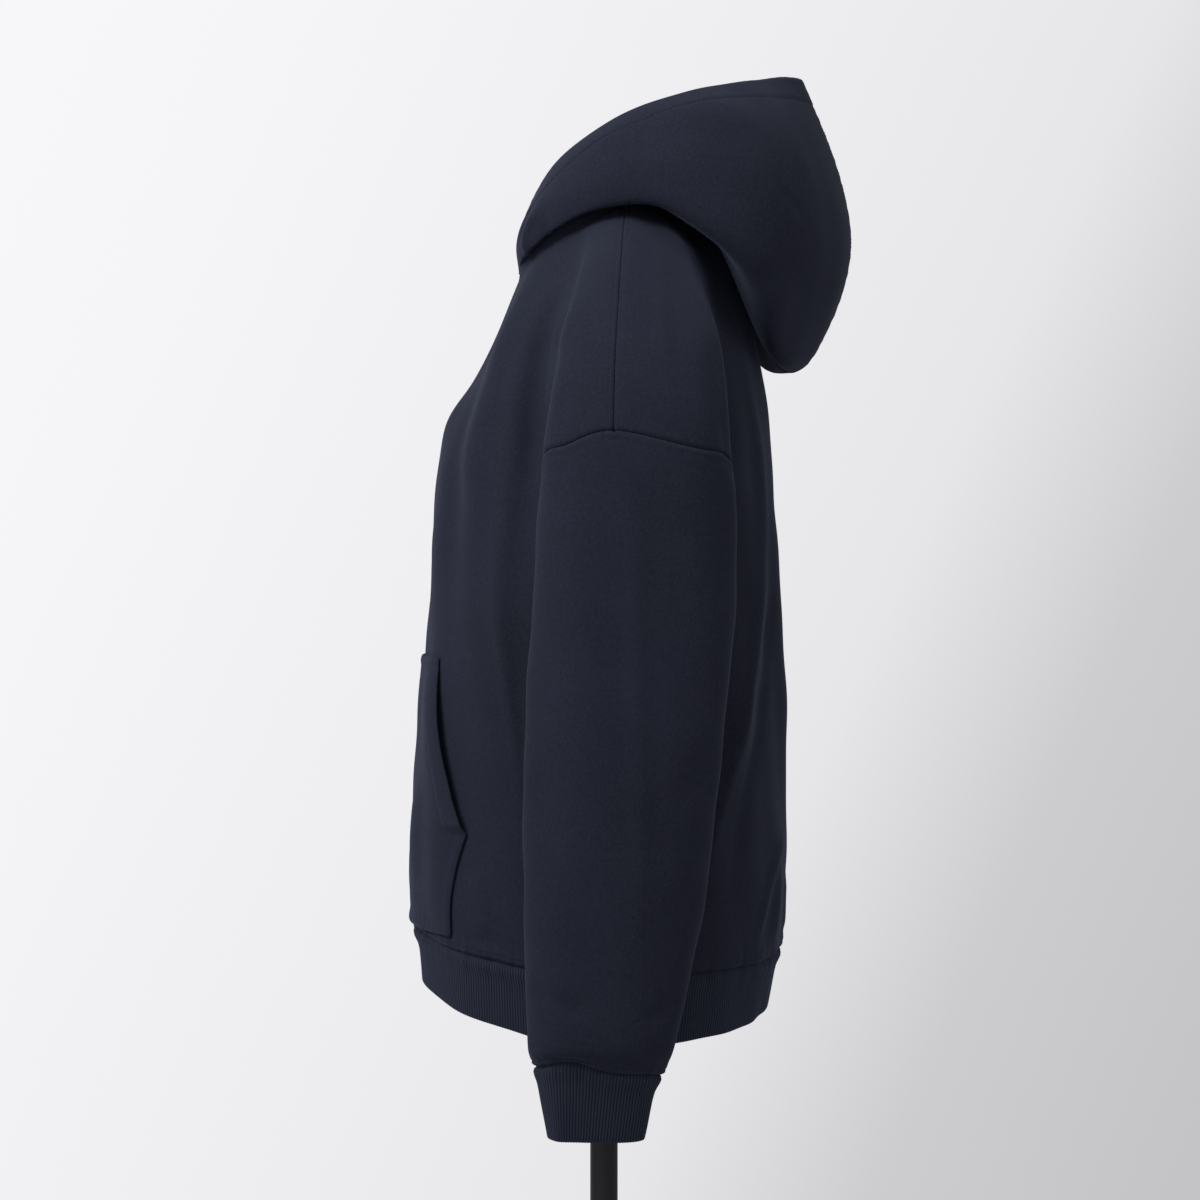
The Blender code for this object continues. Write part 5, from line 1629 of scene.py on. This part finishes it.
class HOODIE_OT_body(bpy.types.Operator):
    """Front, back and both sleeves, with their folds and seams"""

    bl_idname = "hoodie.body"
    bl_label = "Body and Sleeves"

    def execute(self, context):
        sizes = context.scene.hoodie_cloth
        skin, detail, _ = body_skin()
        thickness = np.full(len(skin.points), sizes.thickness)
        plain = np.zeros(len(skin.points), bool)
        for panel in ("front", "back", "sleeve_left", "sleeve_right"):
            cut = SLEEVE_INSEAM if panel.startswith("sleeve") else None
            obj, flat, area = walled(skin, panel, f"{panel}_cloth", knit_material(), detail, thickness, plain, cut)
            cloth_piece(obj, panel)
        return {"FINISHED"}


class HOODIE_OT_hood(bpy.types.Operator):
    """Both hood halves, with the turned edge of the face opening"""

    bl_idname = "hoodie.hood"
    bl_label = "Hood"

    def execute(self, context):
        sizes = context.scene.hoodie_cloth
        skin, detail, _, rim = hood_skin()
        casing = ease((CASING + CASING_PAST - rim) / CASING_RUN)
        thickness = sizes.thickness + (CASING_THICKNESS - sizes.thickness) * casing
        edge = rim < 1e-5
        for panel in ("hood_left", "hood_right"):
            obj, flat, area = walled(skin, panel, f"{panel}_cloth", knit_material(), detail, thickness, edge, None, 2)
            cloth_piece(obj, panel)
        return {"FINISHED"}


class HOODIE_OT_ribs(bpy.types.Operator):
    """Ribbed hem band and cuffs"""

    bl_idname = "hoodie.ribs"
    bl_label = "Hem Rib and Cuffs"

    def execute(self, context):
        skin = body_skin()[0]
        for seed, (panel, rows) in enumerate(RIB_ROWS.items(), BAND_SEED):
            obj, flat = rib_band(f"{panel}_rib", skin, panel, rows, seed)
            cloth_piece(obj, panel)
        return {"FINISHED"}


class HOODIE_OT_pocket(bpy.types.Operator):
    """Kangaroo pocket with slanted hand openings"""

    bl_idname = "hoodie.pocket"
    bl_label = "Pocket"

    def execute(self, context):
        outer, inner, _ = pocket_parts()
        obj, flat = grid_wall("pocket_cloth", outer, inner, knit_material(), False)
        cloth_piece(obj, "pocket")
        return {"FINISHED"}


class HOODIE_OT_stitching(bpy.types.Operator):
    """Topstitching beside the seams"""

    bl_idname = "hoodie.stitching"
    bl_label = "Topstitching"

    def execute(self, context):
        skin, _, lines = body_skin()
        stitch_object("topstitch_body", row_stitches(skin, lines, ("front", "back")))
        stitch_object("topstitch_sleeves", row_stitches(skin, lines, "sleeve"))
        skin, _, lines, _ = hood_skin()
        stitch_object("topstitch_hood", row_stitches(skin, lines, "hood"))
        outer, _, lines = pocket_parts()
        quads = quads_of(np.arange(outer[..., 0].size).reshape(outer.shape[:2])).reshape(-1, 4)
        tree = BVHTree.FromPolygons(outer.reshape(-1, 3).tolist(), quads.tolist())
        stitch_object("topstitch_pocket", [stitch for line in lines for stitch in stitches_along(tree, line)])
        return {"FINISHED"}


class HOODIE_OT_form(bpy.types.Operator):
    """Smooth limbless dress form"""

    bl_idname = "hoodie.form"
    bl_label = "Dress Form"

    def execute(self, context):
        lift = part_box("form_torso")[0][2] - FORM[0].z
        bpy.ops.object.select_all(action="DESELECT")
        bpy.ops.mesh.primitive_circle_add(vertices=FORM_COLUMNS, radius=1.0, fill_type="NGON")
        form = context.object
        form.name = "form_torso_cover"
        edit_all()
        for _ in FORM[1:]:
            bpy.ops.mesh.extrude_region_move(TRANSFORM_OT_translate={"value": (0, 0, 1)})
        bpy.ops.object.mode_set(mode="OBJECT")
        for vertex in form.data.vertices:
            row = FORM[round(vertex.co.z)]
            depth = row.back if vertex.co.y > 0 else row.front
            vertex.co = (row.width * vertex.co.x, row.middle + depth * vertex.co.y, row.z + lift)
        add_bevel(form, FORM_EDGE, 2, FORM_EDGE_ANGLE)
        smooth = form.modifiers.new("Rounding", "SUBSURF")
        smooth.levels = smooth.render_levels = 2
        alone(form)
        for modifier in list(form.modifiers):
            bpy.ops.object.modifier_apply(modifier=modifier.name)
        edit_all()
        bpy.ops.mesh.normals_make_consistent(inside=False)
        bpy.ops.object.mode_set(mode="OBJECT")
        bpy.ops.object.shade_smooth()
        form.data.materials.append(form_material())
        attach(form, "root")
        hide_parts("form_torso")
        return {"FINISHED"}


def finish_hard(obj, node):
    """Gives a steel piece its finish, puts it under the frame's root body and hides the frame's part that it stands
    for.
    """
    obj.data.materials.append(metal_material())
    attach(obj, "root")
    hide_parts(node)


class HOODIE_OT_stand(bpy.types.Operator):
    """Steel pole and round base plate"""

    bl_idname = "hoodie.stand"
    bl_label = "Stand"

    def execute(self, context):
        low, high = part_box("stand_pole")
        bpy.ops.object.select_all(action="DESELECT")
        bpy.ops.mesh.primitive_cylinder_add(
            vertices=64,
            radius=(high[0] - low[0]) / 2,
            depth=high[2] - low[2],
            location=(0, 0, (high[2] + low[2]) / 2),
            end_fill_type="TRIFAN",
        )
        pole = context.object
        pole.name = "stand_pole_tube"
        bpy.ops.object.transform_apply(location=True, rotation=False, scale=False)
        bpy.ops.object.shade_smooth_by_angle(angle=math.radians(SHARP_ANGLE))
        finish_hard(pole, "stand_pole")
        bottom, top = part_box("stand_base")
        radius = (top[0] - bottom[0]) / 2
        bpy.ops.object.select_all(action="DESELECT")
        bpy.ops.mesh.primitive_circle_add(vertices=128, radius=radius, fill_type="NGON", location=(0, 0, 0))
        base = context.object
        base.name = "stand_base_plate"
        edit_all()
        bpy.ops.mesh.flip_normals()
        bpy.ops.mesh.extrude_region_move(TRANSFORM_OT_translate={"value": (0, 0, BASE_THICK)})
        foot = SOCKET_RADIUS + SOCKET_CHAMFER
        rise = SOCKET_HEIGHT - BASE_THICK - SOCKET_CHAMFER
        for size, height in ((foot / radius, 0.0), (SOCKET_RADIUS / foot, SOCKET_CHAMFER), (1.0, rise)):
            bpy.ops.mesh.extrude_region_move(TRANSFORM_OT_translate={"value": (0, 0, height)})
            bpy.ops.transform.resize(value=(size, size, 1), center_override=(0, 0, 0))
        inside = (POLE_CLEAR + (high[0] - low[0]) / 2) / SOCKET_RADIUS
        bpy.ops.mesh.extrude_region_move(TRANSFORM_OT_translate={"value": (0, 0, 0)})
        bpy.ops.transform.resize(value=(inside, inside, 1), center_override=(0, 0, 0))
        bpy.ops.mesh.extrude_region_move(TRANSFORM_OT_translate={"value": (0, 0, -SOCKET_DEPTH)})
        bpy.ops.object.mode_set(mode="OBJECT")
        add_bevel(base, BASE_EDGE, 3, BASE_EDGE_ANGLE)
        alone(base)
        bpy.ops.object.modifier_apply(modifier="Edges")
        bpy.ops.object.shade_smooth_by_angle(angle=math.radians(SHARP_ANGLE))
        finish_hard(base, "stand_base")
        return {"FINISHED"}


CAMERA_PLACE = (2.5, -0.0036, 1.071)  # square on to the wearer's left
PIXELS_PER_METRE = 1100  # at the pole, in a frame of FRAME_PIXELS
FRAME_PIXELS = 1200
HORIZON_SHIFT = 40  # how far above the frame's middle the camera's own height lies
SENSOR = 36  # its width in millimetres

# A studio light: its place, its size and the setting of its power. All are aimed at LIT_POINT.
Light = namedtuple("Light", "name place size power")
LIGHTS = [
    Light("key_front", (1.4, -1.75, 2.7), 1.4, "key_power"),
    Light("top_softbox", (0.3, -0.5, 3.0), 1.4, "top_power"),
    Light("back_fill", (0.9, 2.3, 2.0), 1.6, "fill_power"),
]
LIT_POINT = Vector((0, 0, 1.05))


class HOODIE_OT_stage(bpy.types.Operator):
    """Pale floor, soft studio light and the camera"""

    bl_idname = "hoodie.stage"
    bl_label = "Stage"

    def execute(self, context):
        look = context.scene.hoodie_stage
        bpy.ops.object.select_all(action="DESELECT")
        bpy.ops.mesh.primitive_circle_add(vertices=96, radius=look.floor_radius, fill_type="NGON")
        floor = context.object
        floor.name = "studio_floor"
        floor.data.materials.append(floor_material())
        context.scene.world = studio_world(look.ambient)
        for row in LIGHTS:
            bpy.ops.object.light_add(type="AREA", location=row.place)
            light = context.object
            light.name = row.name
            light.data.shape = "SQUARE"
            light.data.size = row.size
            light.data.energy = getattr(look, row.power)
            light.visible_camera = False
            light.rotation_euler = (LIT_POINT - light.location).to_track_quat("-Z", "Y").to_euler()
        bpy.ops.object.camera_add(location=CAMERA_PLACE, rotation=(math.pi / 2, 0, math.pi / 2))
        camera = context.object
        camera.name = "camera"
        camera.data.sensor_width = SENSOR
        camera.data.lens = SENSOR * PIXELS_PER_METRE * CAMERA_PLACE[0] / FRAME_PIXELS
        camera.data.shift_y = -HORIZON_SHIFT / FRAME_PIXELS
        context.scene.camera = camera
        context.scene.view_settings.view_transform = "Standard"
        return {"FINISHED"}


# ================================================================ settings and panel
def colour_setting(name, description, code):
    """A colour setting with its sRGB hex default."""
    return bpy.props.FloatVectorProperty(
        name=name, description=description, default=linear(code), size=4, min=0.0, max=1.0, subtype="COLOR"
    )


class HoodieColours(bpy.types.PropertyGroup):
    knit_flat: colour_setting("Knit, Flat", "Jersey where its nap lies flat", "#15171e")
    knit_raised: colour_setting("Knit, Raised", "Jersey where its nap stands up", "#1f212d")
    # The three rib colours are painted light and shade: painted shade in the furrows, a middle tone on the sides,
    # painted light on the crests.
    rib_furrow_shade: colour_setting("Rib, Furrow", "Rib knit between its ribs", "#0c0e14")
    rib_side_shade: colour_setting("Rib, Side", "Rib knit on the sides of its ribs", "#13161e")
    rib_crest_light: colour_setting("Rib, Crest", "Rib knit on the crests of its ribs", "#1c202d")
    thread: colour_setting("Thread", "Topstitching thread", "#1d2231")
    metal: colour_setting("Steel", "Powder coat of the pole and base", "#09090c")
    cover_dark: colour_setting("Cover, Dark", "Darker threads of the form's cover", "#cfc8ba")
    cover_light: colour_setting("Cover, Light", "Lighter threads of the form's cover", "#e2dccf")
    floor: colour_setting("Floor", "Studio floor", "#b4b3b9")


class HoodieCloth(bpy.types.PropertyGroup):
    thickness: bpy.props.FloatProperty(
        name="Cloth Thickness", description="Thickness of the heavy jersey", default=0.0018, min=0.001, max=0.003,
        precision=4, subtype="DISTANCE", unit="LENGTH",
    )  # fmt: skip


class HoodieStage(bpy.types.PropertyGroup):
    floor_radius: bpy.props.FloatProperty(
        name="Floor Radius", description="Radius of the pale studio floor", default=2.0, min=0.5,
        subtype="DISTANCE", unit="LENGTH",
    )  # fmt: skip
    ambient: bpy.props.FloatProperty(
        name="Ambient Light", description="Strength of the light from all round", default=1.0, min=0.0
    )
    key_power: bpy.props.FloatProperty(
        name="Key Light", description="Power of the large light above the front left", default=95.0, unit="POWER"
    )
    top_power: bpy.props.FloatProperty(
        name="Top Light", description="Power of the large light overhead", default=3.0, unit="POWER"
    )
    fill_power: bpy.props.FloatProperty(
        name="Fill Light", description="Power of the weak light behind", default=14.0, unit="POWER"
    )


class HOODIE_PT_build(bpy.types.Panel):
    """Builds the hoodie piece by piece"""

    bl_label = "Hoodie"
    bl_idname = "HOODIE_PT_build"
    bl_space_type = "VIEW_3D"
    bl_region_type = "UI"
    bl_category = "Hoodie"

    def draw(self, context):
        layout = self.layout
        for operator in OPERATORS:
            layout.operator(operator.bl_idname)
        scene = context.scene
        for group in (scene.hoodie_cloth, scene.hoodie_colours, scene.hoodie_stage):
            for name in group.__annotations__:
                layout.prop(group, name)


OPERATORS = (
    HOODIE_OT_body,
    HOODIE_OT_hood,
    HOODIE_OT_ribs,
    HOODIE_OT_pocket,
    HOODIE_OT_stitching,
    HOODIE_OT_form,
    HOODIE_OT_stand,
    HOODIE_OT_stage,
)
CLASSES = (HoodieCloth, HoodieColours, HoodieStage) + OPERATORS + (HOODIE_PT_build,)


def register():
    for cls in CLASSES:
        bpy.utils.register_class(cls)
    bpy.types.Scene.hoodie_cloth = bpy.props.PointerProperty(type=HoodieCloth)
    bpy.types.Scene.hoodie_colours = bpy.props.PointerProperty(type=HoodieColours)
    bpy.types.Scene.hoodie_stage = bpy.props.PointerProperty(type=HoodieStage)


def unregister():
    del bpy.types.Scene.hoodie_stage
    del bpy.types.Scene.hoodie_colours
    del bpy.types.Scene.hoodie_cloth
    for cls in reversed(CLASSES):
        bpy.utils.unregister_class(cls)


def main():
    register()
    for operator in OPERATORS:
        space, name = operator.bl_idname.split(".")
        getattr(getattr(bpy.ops, space), name)()


if __name__ == "__main__":
    main()
